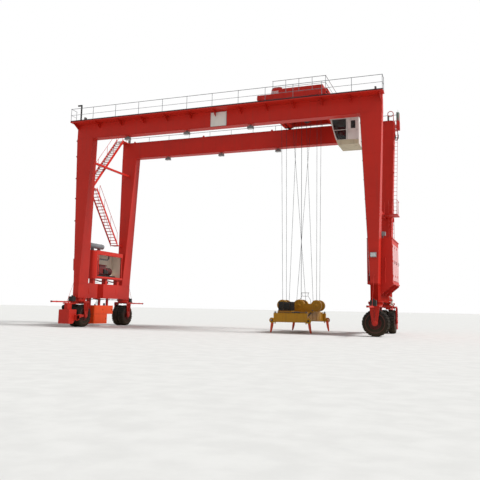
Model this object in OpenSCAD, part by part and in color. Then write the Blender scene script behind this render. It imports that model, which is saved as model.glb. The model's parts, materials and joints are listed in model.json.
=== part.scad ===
// Rubber tyred gantry crane: a portal on four steered wheel corners, with a trolley on top,
// an operator's cab hung from the trolley and a container spreader on ropes.
// Millimetres. Origin on the ground at the middle of the crane, +X along the girders
// towards the cab end, +Y from the front girder to the rear girder, +Z up.

/* [Portal] */
// Distance over the outer faces of the left and right legs, at the girders
span_outer = 24800; // [23000:100:26000]
// Distance over the outer faces of the front and rear legs
depth_outer = 7800; // [7400:50:8400]
// Height of the girder tops above the ground
girder_top = 16730; // [16000:10:17600]
// Height of a girder box
girder_h = 1480; // [1300:10:1600]
// Width of a girder box
girder_w = 700; // [600:10:800]
// How far the girder flanges stand out past the webs
flange_lip = 30; // [20:5:45]
// Thickness of the girder flanges
flange_t = 35; // [20:5:50]

/* [Legs and sills] */
// Width of a leg along the span, at its top
leg_top_w = 1500; // [1300:10:1700]
// Width of a leg along the span, at its foot
leg_foot_w = 500; // [440:10:600]
// Depth of a leg across the girder, at its foot
leg_foot_d = 1300; // [1200:10:1400]
// How far the outer face of a leg leans inwards by its foot
leg_lean = 450; // [350:10:550]
// Height of the underside of the sill beams
sill_bottom = 2300; // [2280:10:2400]
// Height of a sill beam
sill_h = 1200; // [1100:10:1300]

/* [Walkways] */
// Width of the walkway along each girder
walk_w = 800; // [700:10:900]
// How far the walkway runs past the girder at each end
walk_past = 200; // [100:10:400]
// Thickness of the walkway deck
walk_t = 70; // [50:5:90]
// Height of the handrails above the deck
rail_h = 1100; // [1000:10:1200]
// Diameter of the handrail tube
rail_d = 44; // [36:2:52]
// Bays between posts of a girder handrail
rail_bays = 12; // [10:1:14]

/* [Wheels] */
// Outside diameter of a tyre
tyre_d = 1780; // [1700:10:1800]
// Width of a tyre
tyre_w = 500; // [440:10:520]
// Diameter of the wheel rim
rim_d = 800; // [700:10:900]
// Gap between the two tyres of a corner
tyre_gap = 80; // [60:5:100]
// Diameter of the wheel axle
axle_d = 140; // [120:5:170]
// Thickness of a fork cheek
cheek_t = 60; // [50:5:70]
// Gap between a tyre and the fork cheek
cheek_gap = 50; // [30:5:60]

/* [Trolley] */
// Middle of the hoist along the span, from the middle of the crane
hoist_x = 5700; // [5500:50:5900]
// Length of the trolley frame along the span
trolley_l = 5200; // [5000:50:5400]
// Diameter of a trolley wheel
trolley_wheel_d = 500; // [450:10:560]
// Height of the trolley rails
track_h = 120; // [100:5:140]

/* [Cab] */
// Length of the cab roof along the span
cab_l = 2150; // [2050:10:2250]
// Width of the cab
cab_w = 1900; // [1700:10:2000]
// Height of the cab
cab_h = 2050; // [1950:10:2150]
// Thickness of the cab walls
cab_wall = 60; // [40:5:80]

/* [Spreader] */
// Length of the spreader with its end beams drawn in
spreader_l = 6060; // [5900:10:6200]
// Width of the spreader over its end beams
spreader_w = 2440; // [2300:10:2500]
// Height of the underside of the end beams above the ground at rest
spreader_z = 780; // [720:10:850]
// Diameter of the hoist ropes
rope_d = 28; // [20:2:36]

/* [Hidden] */

red = [0.60, 0.14, 0.11];
dark_red = [0.42, 0.09, 0.09];
orange = [0.92, 0.32, 0.08];
ochre = [0.62, 0.44, 0.08];
grey = [0.55, 0.57, 0.58];
dark_grey = [0.25, 0.26, 0.27];
black = [0.08, 0.08, 0.09];
cream = [0.86, 0.82, 0.75];
tan = [0.62, 0.55, 0.42];

// Clearance between pieces that touch along curved or sloping faces
seat = 0.3;
// Clearance round an axle or pin that turns
running = 0.5;

half_span = span_outer / 2;
half_depth = depth_outer / 2;
girder_y = half_depth - girder_w / 2;
girder_bottom = girder_top - girder_h;
sill_top = sill_bottom + sill_h;

leg_foot_out = half_span - leg_lean;
leg_foot_in = leg_foot_out - leg_foot_w;
leg_foot_x = leg_foot_out - leg_foot_w / 2;
leg_top_in = half_span - leg_top_w;
corner_x = leg_foot_x;
corner_y = half_depth - leg_foot_d / 2;

// Depth of a leg across the girder at height z
function leg_depth(z) =
    girder_w + (leg_foot_d - girder_w) * (girder_bottom - z) / (girder_bottom - sill_top);
// Outer face of a leg along the span at height z
function leg_out(z) =
    half_span - leg_lean * (girder_bottom - z) / (girder_bottom - sill_top);
// Inner face of a leg along the span at height z
function leg_in(z) =
    leg_top_in + (leg_foot_in - leg_top_in) * (girder_bottom - z) / (girder_bottom - sill_top);

walk_edge = half_depth + walk_w;
walk_x = half_span + walk_past;

tyre_r = tyre_d / 2;
tyre_y = tyre_gap / 2 + tyre_w / 2;
cheek_in = tyre_gap / 2 + tyre_w + cheek_gap;
cheek_out = cheek_in + cheek_t;
cheek_top_w = 660;
cheek_foot_r = 190;
fork_crown_z = tyre_d + 160;
fork_crown_t = 100;
slew_ring_d = 900;
slew_ring_t = 60;
slew_ring_z = fork_crown_z + fork_crown_t + slew_ring_t;

drive_x0 = tyre_r + 160;
drive_x1 = drive_x0 + 950;
drive_z0 = 280;
drive_z1 = 1350;

track_top = girder_top + track_h;
trolley_x0 = hoist_x + 150 - trolley_l / 2;
trolley_x1 = trolley_x0 + trolley_l;
trolley_sill_z = track_top + trolley_wheel_d / 2 - 60;
trolley_deck_z = track_top + trolley_wheel_d + 60;
trolley_axle_z = track_top + trolley_wheel_d / 2 + seat;
trolley_wheel_x = [trolley_x0 + 450, trolley_x1 - 450];
deck_t = 21;

cab_x1 = hoist_x + 4700;
cab_x0 = cab_x1 - cab_l;
cab_y0 = -1450;
cab_top = 15840;
cab_bottom = cab_top - cab_h;

headblock_z = spreader_z + 780;

// Box from its lowest corner to its highest corner
module block(lo, hi) {
    translate(lo) cube(hi - lo);
}

// Round bar between two points, with few sides for tubes and bars
module bar(a, b, d, sides = 8) {
    v = b - a;
    l = norm(v);
    turn = atan2(v[1], v[0]);
    tilt = acos(v[2] / l);
    translate(a) rotate([0, tilt, turn]) cylinder(h = l, d = d, $fn = sides);
}

// Outline in the XZ plane, given thickness from y0 to y1
module plate_xz(points, y0, y1) {
    translate([0, y1, 0]) rotate([90, 0, 0]) linear_extrude(y1 - y0) polygon(points);
}

// Outline in the YZ plane, given thickness from x0 to x1
module plate_yz(points, x0, x1) {
    translate([x0, 0, 0]) rotate([90, 0, 90]) linear_extrude(x1 - x0) polygon(points);
}

// Puts a piece drawn for the rear right corner at one of the four corners
module at_corner(sx, sy) {
    mirror([sx < 0 ? 1 : 0, 0, 0]) mirror([0, sy < 0 ? 1 : 0, 0]) children();
}

// Box girder with flanges that stand out past the webs, over the rear (side 1) or front (side -1)
module girder(side) {
    web_w = girder_w - 2 * flange_lip;
    color(red) {
        block([-half_span, side * girder_y - web_w / 2, girder_bottom],
              [half_span, side * girder_y + web_w / 2, girder_top]);
        block([-half_span, side * girder_y - girder_w / 2, girder_top - flange_t],
              [half_span, side * girder_y + girder_w / 2, girder_top]);
        block([-half_span, side * girder_y - girder_w / 2, girder_bottom],
              [half_span, side * girder_y + girder_w / 2, girder_bottom + flange_t]);
    }
}

// Tapered leg: narrow along the span at its foot, deep across the girder at its foot
module leg(sx, sy) {
    color(red) at_corner(sx, sy) intersection() {
        plate_xz([[half_span, girder_bottom], [leg_top_in, girder_bottom],
                  [leg_foot_in, sill_top], [leg_foot_out, sill_top]],
                 half_depth - leg_foot_d - 100, half_depth + 100);
        plate_yz([[half_depth, girder_bottom], [half_depth - girder_w, girder_bottom],
                  [half_depth - leg_foot_d, sill_top], [half_depth, sill_top]],
                 leg_foot_in - leg_top_w, half_span + 100);
    }
}

// Sill beam under the two legs of one side, with the slewing rings of its two corners
module sill(sx) {
    ring_h = sill_bottom - slew_ring_z - seat;
    color(red) at_corner(sx, 1) {
        block([leg_foot_in, -half_depth, sill_bottom], [leg_foot_out, half_depth, sill_top]);
        for (sy = [-1, 1])
            translate([corner_x, sy * corner_y, sill_bottom - ring_h])
                cylinder(h = ring_h, d = slew_ring_d, $fn = 48);
    }
}

left_tie_z = 13550;
right_tie_z = 8800;
right_tie_x = leg_in(right_tie_z) + 250;

// Horizontal ties between the front and the rear leg of each side
module leg_ties() {
    tie_h = 160;
    beam_h = 300;
    left_x = -leg_out(left_tie_z) + 650;
    left_y = half_depth - leg_depth(left_tie_z - tie_h / 2) - seat;
    right_y = half_depth - leg_depth(right_tie_z) - seat;
    color(red) {
        block([left_x, -left_y, left_tie_z - tie_h / 2], [left_x + tie_h, left_y, left_tie_z + tie_h / 2]);
        block([right_tie_x, -right_y, right_tie_z], [right_tie_x + 200, right_y, right_tie_z + beam_h]);
    }
}

walk_top = girder_top - 180;

// Walkway deck outside each girder on cantilever brackets
module walkways() {
    bracket_t = 20;
    bracket_drop = 420;
    color(red) for (s = [-1, 1]) mirror([0, s < 0 ? 1 : 0, 0]) {
        block([-walk_x, half_depth, walk_top - walk_t], [walk_x, walk_edge, walk_top]);
        for (i = [0 : rail_bays]) {
            x = -half_span + 60 + i * (span_outer - 120) / rail_bays;
            plate_yz([[half_depth - flange_lip, walk_top - walk_t],
                      [half_depth - flange_lip, walk_top - walk_t - bracket_drop],
                      [half_depth, walk_top - walk_t - bracket_drop],
                      [walk_edge - 60, walk_top - walk_t - 60],
                      [walk_edge - 60, walk_top - walk_t]],
                     x - bracket_t / 2, x + bracket_t / 2);
        }
    }
}

post_d = rail_d * 0.84;
knee_d = rail_d * 0.7;

// Handrail run along X at the line y, with posts, top rail, knee rail and toe board
module rail_run(x0, x1, y, z, bays) {
    for (i = [0 : bays]) {
        x = x0 + i * (x1 - x0) / bays;
        bar([x, y, z], [x, y, z + rail_h - rail_d / 2], post_d);
    }
    bar([x0 - rail_d, y, z + rail_h - rail_d / 2], [x1 + rail_d, y, z + rail_h - rail_d / 2], rail_d);
    bar([x0 - rail_d, y, z + rail_h / 2], [x1 + rail_d, y, z + rail_h / 2], knee_d);
    block([x0 - rail_d, y - 5, z], [x1 + rail_d, y + 5, z + 100]);
}

// Handrail run along Y at the line x, from the corner at y0 to a post at y1
module rail_end(y0, y1, x, z) {
    past = y1 - rail_d;
    top = z + rail_h - rail_d / 2;
    bar([x, y0, top], [x, past, top], rail_d * 0.9);
    bar([x, y0, z + rail_h / 2], [x, past, z + rail_h / 2], knee_d * 0.9);
    bar([x, y1, z], [x, y1, top], post_d);
    block([x - 4, past, z], [x + 4, y0, z + 98]);
}

// Handrails along the outer edge and across the ends of both walkways
module railings() {
    edge = walk_edge - 40;
    end_x = walk_x - 40;
    color(grey) for (s = [-1, 1]) mirror([0, s < 0 ? 1 : 0, 0]) {
        rail_run(-end_x, end_x, edge, walk_top, rail_bays);
        for (e = [-1, 1]) rail_end(edge, half_depth + 60, e * end_x, walk_top);
    }
}

// Rails on the girder tops for the trolley wheels, with end stops
module track_rails() {
    color(dark_grey) for (s = [-1, 1]) {
        block([-half_span + 200, s * girder_y - 35, girder_top],
              [half_span - 200, s * girder_y + 35, track_top]);
        for (e = [-1, 1])
            block([e * (half_span - 450) - 60, s * girder_y - 120, track_top + seat],
                  [e * (half_span - 450) + 60, s * girder_y + 120, track_top + 350]);
    }
}

stair_w = 700;
stair_outset = 550;
low_stair_x = -leg_foot_out - stair_outset;
top_stair_x = low_stair_x;
low_landing_z = 7080;
mid_landing_z = 11500;
landing_t = 60;
low_stair_y0 = 2100;
low_stair_y1 = -1550;
top_stair_y0 = -2100;
top_stair_y1 = 2250;
low_stringer_h = 200;
top_stringer_h = 240;

// Half height of a sloping stringer, measured straight up
function half_rise(run, rise, stringer_h) = stringer_h * norm([run, rise]) / abs(run) / 2;

low_half = half_rise(low_stair_y1 - low_stair_y0, mid_landing_z - low_landing_z, low_stringer_h);
top_half = half_rise(top_stair_y1 - top_stair_y0, girder_top - mid_landing_z, top_stringer_h);

// Straight flight along Y: two stringers, treads between them and a handrail each side
module flight(x, y0, z0, y1, z1, steps, half, rail_to) {
    dy = y1 - y0;
    dz = z1 - z0;
    for (k = [0, stair_w - 12])
        plate_yz([[y0, z0 - half], [y1, z1 - half], [y1, z1 + half], [y0, z0 + half]],
                 x + k, x + k + 12);
    for (i = [1 : steps])
        translate([x + 11, y0 + dy * (i - 0.5) / steps - 110, z0 + dz * (i - 0.5) / steps])
            cube([stair_w - 22, 220, 30]);
    for (k = [18, stair_w - 18]) {
        bar([x + k, y0 + dy * 0.03, z0 + dz * 0.03 + 950], [x + k, y0 + dy * rail_to, z0 + dz * rail_to + 950], 36);
        for (f = [0.03, 0.35, 0.65, rail_to])
            bar([x + k, y0 + dy * f, z0 + dz * f], [x + k, y0 + dy * f, z0 + dz * f + 950], 32);
    }
}

// Flight from the landing on the rear left leg up to the landing on the front left leg
module lower_stair() {
    color(red) flight(low_stair_x, low_stair_y0, low_landing_z, low_stair_y1, mid_landing_z,
                      18, low_half, 0.88);
}

// Flight from the landing on the front left leg up to the rear girder
module upper_stair() {
    color(red) flight(top_stair_x, top_stair_y0, mid_landing_z + top_half,
                      top_stair_y1, girder_top, 19, top_half, 0.97);
}

// Landings at the foot, the turn and the head of the stairs
module stair_landings() {
    x0 = low_stair_x - 50;
    x1 = top_stair_x + stair_w + 50;
    low_leg_y = half_depth - leg_depth(low_landing_z - landing_t) - seat;
    mid_leg_y = half_depth - leg_depth(mid_landing_z - landing_t) - seat;
    color(red) {
        block([x0, low_stair_y0, low_landing_z - landing_t],
              [x0 + stair_w + 100, low_leg_y, low_landing_z]);
        block([x0, -mid_leg_y, mid_landing_z - landing_t], [x1, low_stair_y1, mid_landing_z]);
        block([top_stair_x - 50, top_stair_y1, girder_top - landing_t],
              [x1, half_depth - girder_w, girder_top]);
    }
}

right_landing_z = 8900;
right_landing_x0 = right_tie_x + 200 + seat;
right_landing_x1 = half_span + 350;
right_landing_l = 1550;
right_landing_y1 = half_depth - 1050;
right_landing_y0 = right_landing_y1 - right_landing_l;

// Ladder in the XZ plane at the line y: feet at x0, z0, leaning to x1 at z1
module ladder(x0, z0, x1, z1, y, w) {
    rung_gap = 300;
    rungs = floor((z1 - z0) / rung_gap) - 1;
    for (k = [0, w - 20])
        plate_xz([[x0 + k, z0], [x0 + k + 20, z0], [x1 + k + 20, z1], [x1 + k, z1]], y, y + 50);
    for (i = [0 : rungs]) {
        z = z0 + (i + 0.6) * rung_gap;
        x = x0 + (x1 - x0) * (z - z0) / (z1 - z0);
        bar([x + 10, y + 25, z], [x + w - 10, y + 25, z], 26, 6);
    }
}

// Ladders from the roof of the electrical house to a landing and on up the rear right leg
module right_ladder() {
    w = 400;
    top_y = half_depth - girder_w - 150;
    top_z = girder_top + 60;
    low_x = right_landing_x1 - w - 250;
    color(red) {
        block([right_landing_x0, right_landing_y0, right_landing_z - 60],
              [right_landing_x1, right_landing_y1, right_landing_z]);
        block([right_landing_x0, right_landing_y0, right_landing_z - 200],
              [right_landing_x0 + 60, right_landing_y1, right_landing_z - 59]);
        ladder(low_x, house_top + 60, low_x, right_landing_z + 1000, right_landing_y0 - 49, w);
        ladder(leg_out(right_landing_z) + 40, right_landing_z - 1,
                                    half_span + 40, top_z, right_landing_y1 - 60, w - 60);
        for (z = [10200, 12400, 14400])
            block([leg_out(z + 60) + seat, right_landing_y1 - 60, z],
                  [leg_out(z) + 80, top_y + 200, z + 60]);
        for (x = [right_landing_x0 + 30, right_landing_x1 - 30])
            bar([x, right_landing_y1 - 700, right_landing_z - 1], [x, right_landing_y1 - 700, right_landing_z + rail_h], 40);
        bar([right_landing_x1 - 30, right_landing_y0 + 40, right_landing_z + rail_h - 20],
            [right_landing_x1 - 30, right_landing_y1 - 60, right_landing_z + rail_h - 20], 40);
        bar([right_landing_x1 - 30, right_landing_y0 + 40, right_landing_z - 1],
            [right_landing_x1 - 30, right_landing_y0 + 40, right_landing_z + rail_h], 40);
    }
}

engine_y0 = -2050;
engine_y1 = 2350;
engine_floor = 4000;
engine_top = 6250;
engine_x0 = -leg_foot_out - 500;
engine_x1 = -leg_foot_in + 100;
engine_pod = 400;
engine_wall = 60;
engine_beam_d = 220;
engine_lintel = 320;

// Open fronted engine room on the left sill: rounded closed end, floor, roof, lintel and far end
module engine_room() {
    x0 = engine_x0;
    x1 = engine_x1;
    round_r = 380;
    pod_y1 = engine_y0 + engine_pod;
    color(red) {
        block([x0, engine_y0, engine_floor - 100], [x1 - round_r, pod_y1, engine_top]);
        block([x1 - round_r - 1, engine_y0 + round_r, engine_floor - 100], [x1, pod_y1, engine_top - 20]);
        translate([x1 - round_r, engine_y0 + round_r, engine_floor - 100])
            cylinder(h = engine_top - 20 - engine_floor + 100, r = round_r, $fn = 60);
        block([x0, pod_y1 - 1, engine_floor], [x1 - engine_beam_d / 2, engine_y1, engine_floor + 120]);
        translate([x1 - engine_beam_d / 2, pod_y1 - 1, engine_floor + 20]) rotate([-90, 0, 0])
            cylinder(h = engine_y1 - pod_y1 + 121, d = engine_beam_d, $fn = 40);
        block([x1 - 160, engine_y1 - 100, engine_floor + 119], [x1 - 40, engine_y1, engine_top - 1]);
        block([x0, engine_y1 - engine_wall, engine_top - 200], [x1 - 41, engine_y1, engine_top - 1]);
        block([x0, pod_y1 - 1, engine_top - engine_wall], [x1, engine_y1, engine_top]);
        block([x1 - 140, pod_y1 - 1, engine_top - engine_lintel], [x1, engine_y1, engine_top - engine_wall + 1]);
        for (y = [engine_y0 + 200, 0, engine_y1 - 500])
            block([-leg_foot_out + 60, y, sill_top], [-leg_foot_in - 60, y + 300, engine_floor + 1]);
    }
}

// Panels that close the outer side and the far end of the engine room
module engine_panel() {
    z0 = engine_floor + 120 + seat;
    color(tan) {
        block([engine_x0, engine_y0 + engine_pod + seat, z0],
              [engine_x0 + engine_wall, engine_y1 - engine_wall - seat, engine_top - engine_wall - seat]);
        block([engine_x0, engine_y1 - engine_wall - seat - 1, z0],
              [engine_x1 - 160 - seat, engine_y1, engine_top - 200 - seat]);
    }
}

// Exhaust silencer lying across the engine room roof on two saddles
module muffler() {
    z = engine_top + 380;
    color(grey) {
        translate([-leg_foot_x, -2450, z]) rotate([-90, 0, 0]) cylinder(h = 2000, d = 420, $fn = 40);
        for (y = [-1950, -1000])
            block([-leg_foot_x - 150, y, engine_top], [-leg_foot_x + 150, y + 80, z - 120]);
    }
}

house_inset = 370;
house_outset = 810;
house_x0 = leg_foot_in - house_inset;
house_x1 = leg_foot_out + house_outset;
house_y0 = -(half_depth - leg_foot_d) + 10;
house_y1 = right_landing_y0 - 50;
house_top = 6600;
house_base_t = 100;

// Electrical house on the right sill: cabinet body, base frame, roof and the brackets under it
module electrical_house() {
    bracket_r = 380;
    color(red) {
        block([house_x0, house_y0, sill_top + house_base_t], [house_x1, house_y1, house_top]);
        block([house_x0 - 30, house_y0, sill_top], [house_x1 + 50, house_y1 + 50, sill_top + house_base_t]);
        block([house_x0 - 40, house_y0, house_top], [house_x1 + 50, house_y1 + 50, house_top + 60]);
        for (y = [house_y0, (house_y0 + house_y1) / 2, house_y1 - 30]) {
            plate_xz([[leg_foot_out, sill_top + 1], [house_x1, sill_top + 1], [house_x1, sill_top - 80],
                      [leg_foot_out, sill_top - 750]], y, y + 30);
            difference() {
                block([leg_foot_in - bracket_r, y, sill_top - bracket_r], [leg_foot_in, y + 30, sill_top + 1]);
                translate([leg_foot_in - bracket_r, y - 1, sill_top - bracket_r]) rotate([-90, 0, 0])
                    cylinder(h = 32, r = bracket_r - 30, $fn = 60);
            }
        }
    }
}

// Door leaves on the outer side of the electrical house
module house_doors() {
    door_w = 1120;
    door_h = 2500;
    color(red) for (i = [0 : 2])
        block([house_x1 + seat, house_y0 + 120 + i * (door_w + 60), sill_top + 250],
              [house_x1 + seat + 25, house_y0 + 120 + i * (door_w + 60) + door_w, sill_top + 250 + door_h]);
}

unit_y0 = -1700;
unit_x = 350;
unit_split = 990;
unit_top_l = 2800;
unit_low_l = 1950;

// Hydraulic power unit in two boxes, one over the other
module hydraulic_unit() {
    color(orange) translate([-leg_foot_x, unit_y0, 0]) {
        block([-unit_x, seat, unit_split + 20], [unit_x, unit_top_l, 1700]);
        block([-unit_x, seat, 220], [unit_x, unit_low_l, unit_split]);
    }
}

// Frame that hangs the hydraulic unit under the left sill, with a band up the sill's inner face
module unit_hanger() {
    band_t = 25;
    color(dark_red) translate([-leg_foot_x, unit_y0, 0]) {
        block([-unit_x, -160, 200], [0, 0, sill_bottom]);
        for (y = [1100, 2300])
            block([-80, y, 1700 + seat], [80, y + 160, sill_bottom]);
        block([-unit_x, -1, unit_split + seat], [unit_x, unit_low_l, unit_split + 20 - seat]);
        block([leg_foot_w / 2, 500, sill_bottom], [leg_foot_w / 2 + band_t, 1300, sill_top]);
        block([-160, 500, sill_bottom - 60], [leg_foot_w / 2 + band_t, 660, sill_bottom]);
    }
}

// Cheek of a fork: wide at the crown, narrowing to a round eye at the axle
module fork_cheek() {
    plate_xz([[-cheek_top_w / 2, fork_crown_z + 1], [cheek_top_w / 2, fork_crown_z + 1],
              [cheek_foot_r, tyre_r], [-cheek_foot_r, tyre_r]], cheek_in, cheek_out);
    translate([0, cheek_in, tyre_r]) rotate([-90, 0, 0])
        cylinder(h = cheek_t, r = cheek_foot_r, $fn = 48);
}

// Drive unit carried ahead of the tyres of a driven corner, cut back towards the tread
module drive_unit() {
    beam_z0 = tyre_d + 20;
    beam_z1 = fork_crown_z - 55;
    beam_w = 150;
    box_w = 480;
    cut = 420;
    block([-cheek_top_w / 2, -beam_w, beam_z0], [drive_x1, beam_w, beam_z1]);
    block([-cheek_top_w / 2, -beam_w, beam_z1 - 1], [cheek_top_w / 2, beam_w, fork_crown_z + 1]);
    block([drive_x0 + cut / 2, -beam_w, drive_z1 - 1], [drive_x1 - cut / 2, beam_w, beam_z0 + 1]);
    plate_xz([[drive_x0, drive_z1], [drive_x1, drive_z1], [drive_x1, drive_z0],
              [drive_x0 + cut, drive_z0], [drive_x0, drive_z0 + cut]], -box_w, box_w);
}

// Puts a corner's running gear, drawn rolling along X, at its corner and turns it
module at_wheels(sx, sy, turn) {
    translate([sx * corner_x, sy * corner_y, 0]) rotate([0, 0, turn]) children();
}

// Steering fork of one corner: slewing ring, crown, two cheeks and the wheel axle
module fork(sx, sy, turn, driven) {
    axle_out = 30;
    color(red) at_wheels(sx, sy, turn) {
        translate([0, 0, slew_ring_z - slew_ring_t]) cylinder(h = slew_ring_t, d = slew_ring_d, $fn = 48);
        block([-cheek_top_w / 2, -cheek_out, fork_crown_z],
              [cheek_top_w / 2, cheek_out, fork_crown_z + fork_crown_t]);
        for (s = [-1, 1]) mirror([0, s < 0 ? 1 : 0, 0]) fork_cheek();
        translate([0, -cheek_out - axle_out, tyre_r]) rotate([-90, 0, 0])
            cylinder(h = 2 * (cheek_out + axle_out), d = axle_d, $fn = 48);
        if (driven) drive_unit();
    }
}

// Tyre section, drawn with its radius along X and its width along Y
module tyre_section() {
    w = tyre_w / 2;
    r0 = rim_d / 2 + seat;
    polygon([[r0, -w + 60], [r0 + 60, -w + 10], [tyre_r - 190, -w], [tyre_r - 70, -w + 20],
             [tyre_r - 10, -w + 70], [tyre_r, -w + 150], [tyre_r, w - 150], [tyre_r - 10, w - 70],
             [tyre_r - 70, w - 20], [tyre_r - 190, w], [r0 + 60, w - 10], [r0, w - 60]]);
}

// Two tyres and the wheel centre of one corner, turning on the fork's axle
module wheel_pair(sx, sy, turn) {
    at_wheels(sx, sy, turn) translate([0, 0, tyre_r]) rotate([90, 0, 0]) {
        color(black) for (s = [-1, 1]) translate([0, 0, s * tyre_y])
            rotate_extrude($fn = 72) tyre_section();
        color(dark_red) difference() {
            union() {
                for (s = [-1, 1]) translate([0, 0, s * tyre_y - tyre_w / 2 + 60])
                    cylinder(h = tyre_w - 120, d = rim_d, $fn = 60);
                translate([0, 0, -cheek_in + 10]) cylinder(h = 2 * cheek_in - 20, d = 360, $fn = 48);
            }
            translate([0, 0, -cheek_in]) cylinder(h = 2 * cheek_in, d = axle_d + 2 * running, $fn = 48);
        }
    }
}

arm_z0 = fork_crown_z - 40;
arm_t = 100;
arm_drop_y = 120;
arm_plate_t = 80;

// Anti-collision arms that reach out from each corner, each with a thin stay
module bumper_arms() {
    reach = 3000;
    stay_foot_z = 4000;
    color(red) for (sx = [-1, 1], sy = [-1, 1]) at_corner(sx, sy) {
        block([corner_x - 120, half_depth, sill_bottom + 50],
              [corner_x + 120, half_depth + arm_drop_y + arm_plate_t, sill_bottom + 150]);
        block([corner_x - 120, half_depth + arm_drop_y, arm_z0],
              [corner_x + 120, half_depth + arm_drop_y + arm_plate_t, sill_bottom + 51]);
        block([corner_x - 50, half_depth + arm_drop_y + arm_plate_t - 1, arm_z0],
              [corner_x + 50, half_depth + reach, arm_z0 + arm_t]);
        bar([corner_x, half_depth + 1050, arm_z0 + 60], [corner_x, half_depth + 20, stay_foot_z + 50], 24);
        block([corner_x - 40, half_depth, stay_foot_z], [corner_x + 40, half_depth + 30, stay_foot_z + 100]);
    }
}

// Sensor boxes that stand on the anti-collision arms
module arm_boxes() {
    color(dark_grey) for (sx = [-1, 1], sy = [-1, 1]) at_corner(sx, sy)
        block([corner_x - 200, half_depth + arm_drop_y + arm_plate_t + 20, arm_z0 + arm_t],
              [corner_x + 200, half_depth + arm_drop_y + arm_plate_t + 420, arm_z0 + arm_t + 380]);
}

// Junction cabinets on the outer faces of the front left and rear right legs
module leg_cabinets() {
    depth = 180;
    color(dark_red) for (s = [-1, 1]) mirror([s < 0 ? 1 : 0, 0, 0]) mirror([0, s < 0 ? 1 : 0, 0]) {
        plate_xz([[leg_out(4300) + seat, 4300], [leg_out(5400) + seat, 5400],
                  [leg_out(5400) + depth, 5400], [leg_out(4300) + depth, 4500]],
                 half_depth - 700, half_depth - 150);
        for (z = [6900, 8600])
            plate_xz([[leg_out(z) + seat, z], [leg_out(z + 300) + seat, z + 300],
                      [leg_out(z) + 90, z + 300], [leg_out(z) + 90, z]],
                     half_depth - 450, half_depth - 150);
    }
}

// Bent post that stands at the left end of the front girder
module bent_post() {
    post_d = 130;
    post_h = 1480;
    arm = 340;
    color(dark_grey) translate([-half_span + 150, -half_depth + 140, girder_top]) {
        cylinder(h = 20, d = 1.8 * post_d, $fn = 24);
        cylinder(h = post_h, d = post_d, $fn = 24);
        translate([0, 0, post_h]) sphere(d = post_d + 4, $fn = 24);
        translate([-arm, 0, post_h]) rotate([0, 90, 0]) cylinder(h = arm, d = post_d, $fn = 24);
    }
}

// Floodlight head hanging from its bracket, with the bracket's top at the origin
module lamp() {
    block([-50, -50, -120], [50, 50, 0]);
    plate_yz([[-150, -300], [150, -300], [110, -119], [-110, -119]], -230, 230);
}

// Floodlights under both girders, on the front right leg and on the electrical house
module floodlights() {
    leg_lamp_z = 5370;
    color(grey) {
        for (s = [-1, 1], x = [-7800, -2550, 2700]) translate([x, s * girder_y, girder_bottom]) lamp();
        translate([leg_foot_x, -half_depth, leg_lamp_z]) {
            block([-40, -200, -60], [40, 0, 0]);
            plate_yz([[-320, 100], [-120, 180], [-120, -160], [-320, -80]], -200, 200);
        }
        translate([(house_x0 + house_x1) / 2 + 200, house_y0 + 150, house_top + 60]) {
            block([-40, -40, 0], [40, 40, 160]);
            plate_yz([[-150, 159], [110, 159], [150, 400], [-110, 440]], -200, 200);
        }
    }
}

// Trolley frame: two side carriers with wheel pockets, cross beams, deck and cab arms
module trolley_frame() {
    arm_x = cab_x1 - 150;
    color(red) {
        difference() {
            for (s = [-1, 1])
                block([trolley_x0, s * girder_y - 180, trolley_sill_z],
                      [trolley_x1, s * girder_y + 180, trolley_deck_z]);
            for (s = [-1, 1], x = trolley_wheel_x)
                block([x - trolley_wheel_d / 2 - 20, s * girder_y - 80, track_top],
                      [x + trolley_wheel_d / 2 + 20, s * girder_y + 80, track_top + trolley_wheel_d + 15]);
        }
        for (s = [-1, 1], x = trolley_wheel_x)
            translate([x, s * girder_y, trolley_axle_z]) rotate([90, 0, 0])
                cylinder(h = 340, d = 80, center = true, $fn = 36);
        for (x = [trolley_x0 + 100, hoist_x - 1900, hoist_x + 1600, trolley_x1 - 400])
            block([x, -girder_y + 179, track_top + 30], [x + 300, girder_y - 179, trolley_deck_z - 20]);
        block([trolley_x0, -girder_y, trolley_deck_z - deck_t], [trolley_x1, girder_y, trolley_deck_z]);
        for (y = [cab_y0 + 150, cab_y0 + cab_w - 350]) {
            block([hoist_x + 1700, y, track_top + 30], [arm_x, y + 200, trolley_deck_z - 60]);
            for (x = [cab_x0 + 250, arm_x - 200])
                block([x, y, cab_top], [x + 200, y + 200, track_top + 31]);
        }
    }
}

// Wheels that carry the trolley along the rails
module trolley_wheels() {
    color(dark_grey) for (s = [-1, 1], x = trolley_wheel_x)
        translate([x, s * girder_y, trolley_axle_z]) rotate([90, 0, 0]) difference() {
            cylinder(h = 130, d = trolley_wheel_d, center = true, $fn = 48);
            cylinder(h = 140, d = 80 + 2 * seat, center = true, $fn = 36);
        }
}

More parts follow.
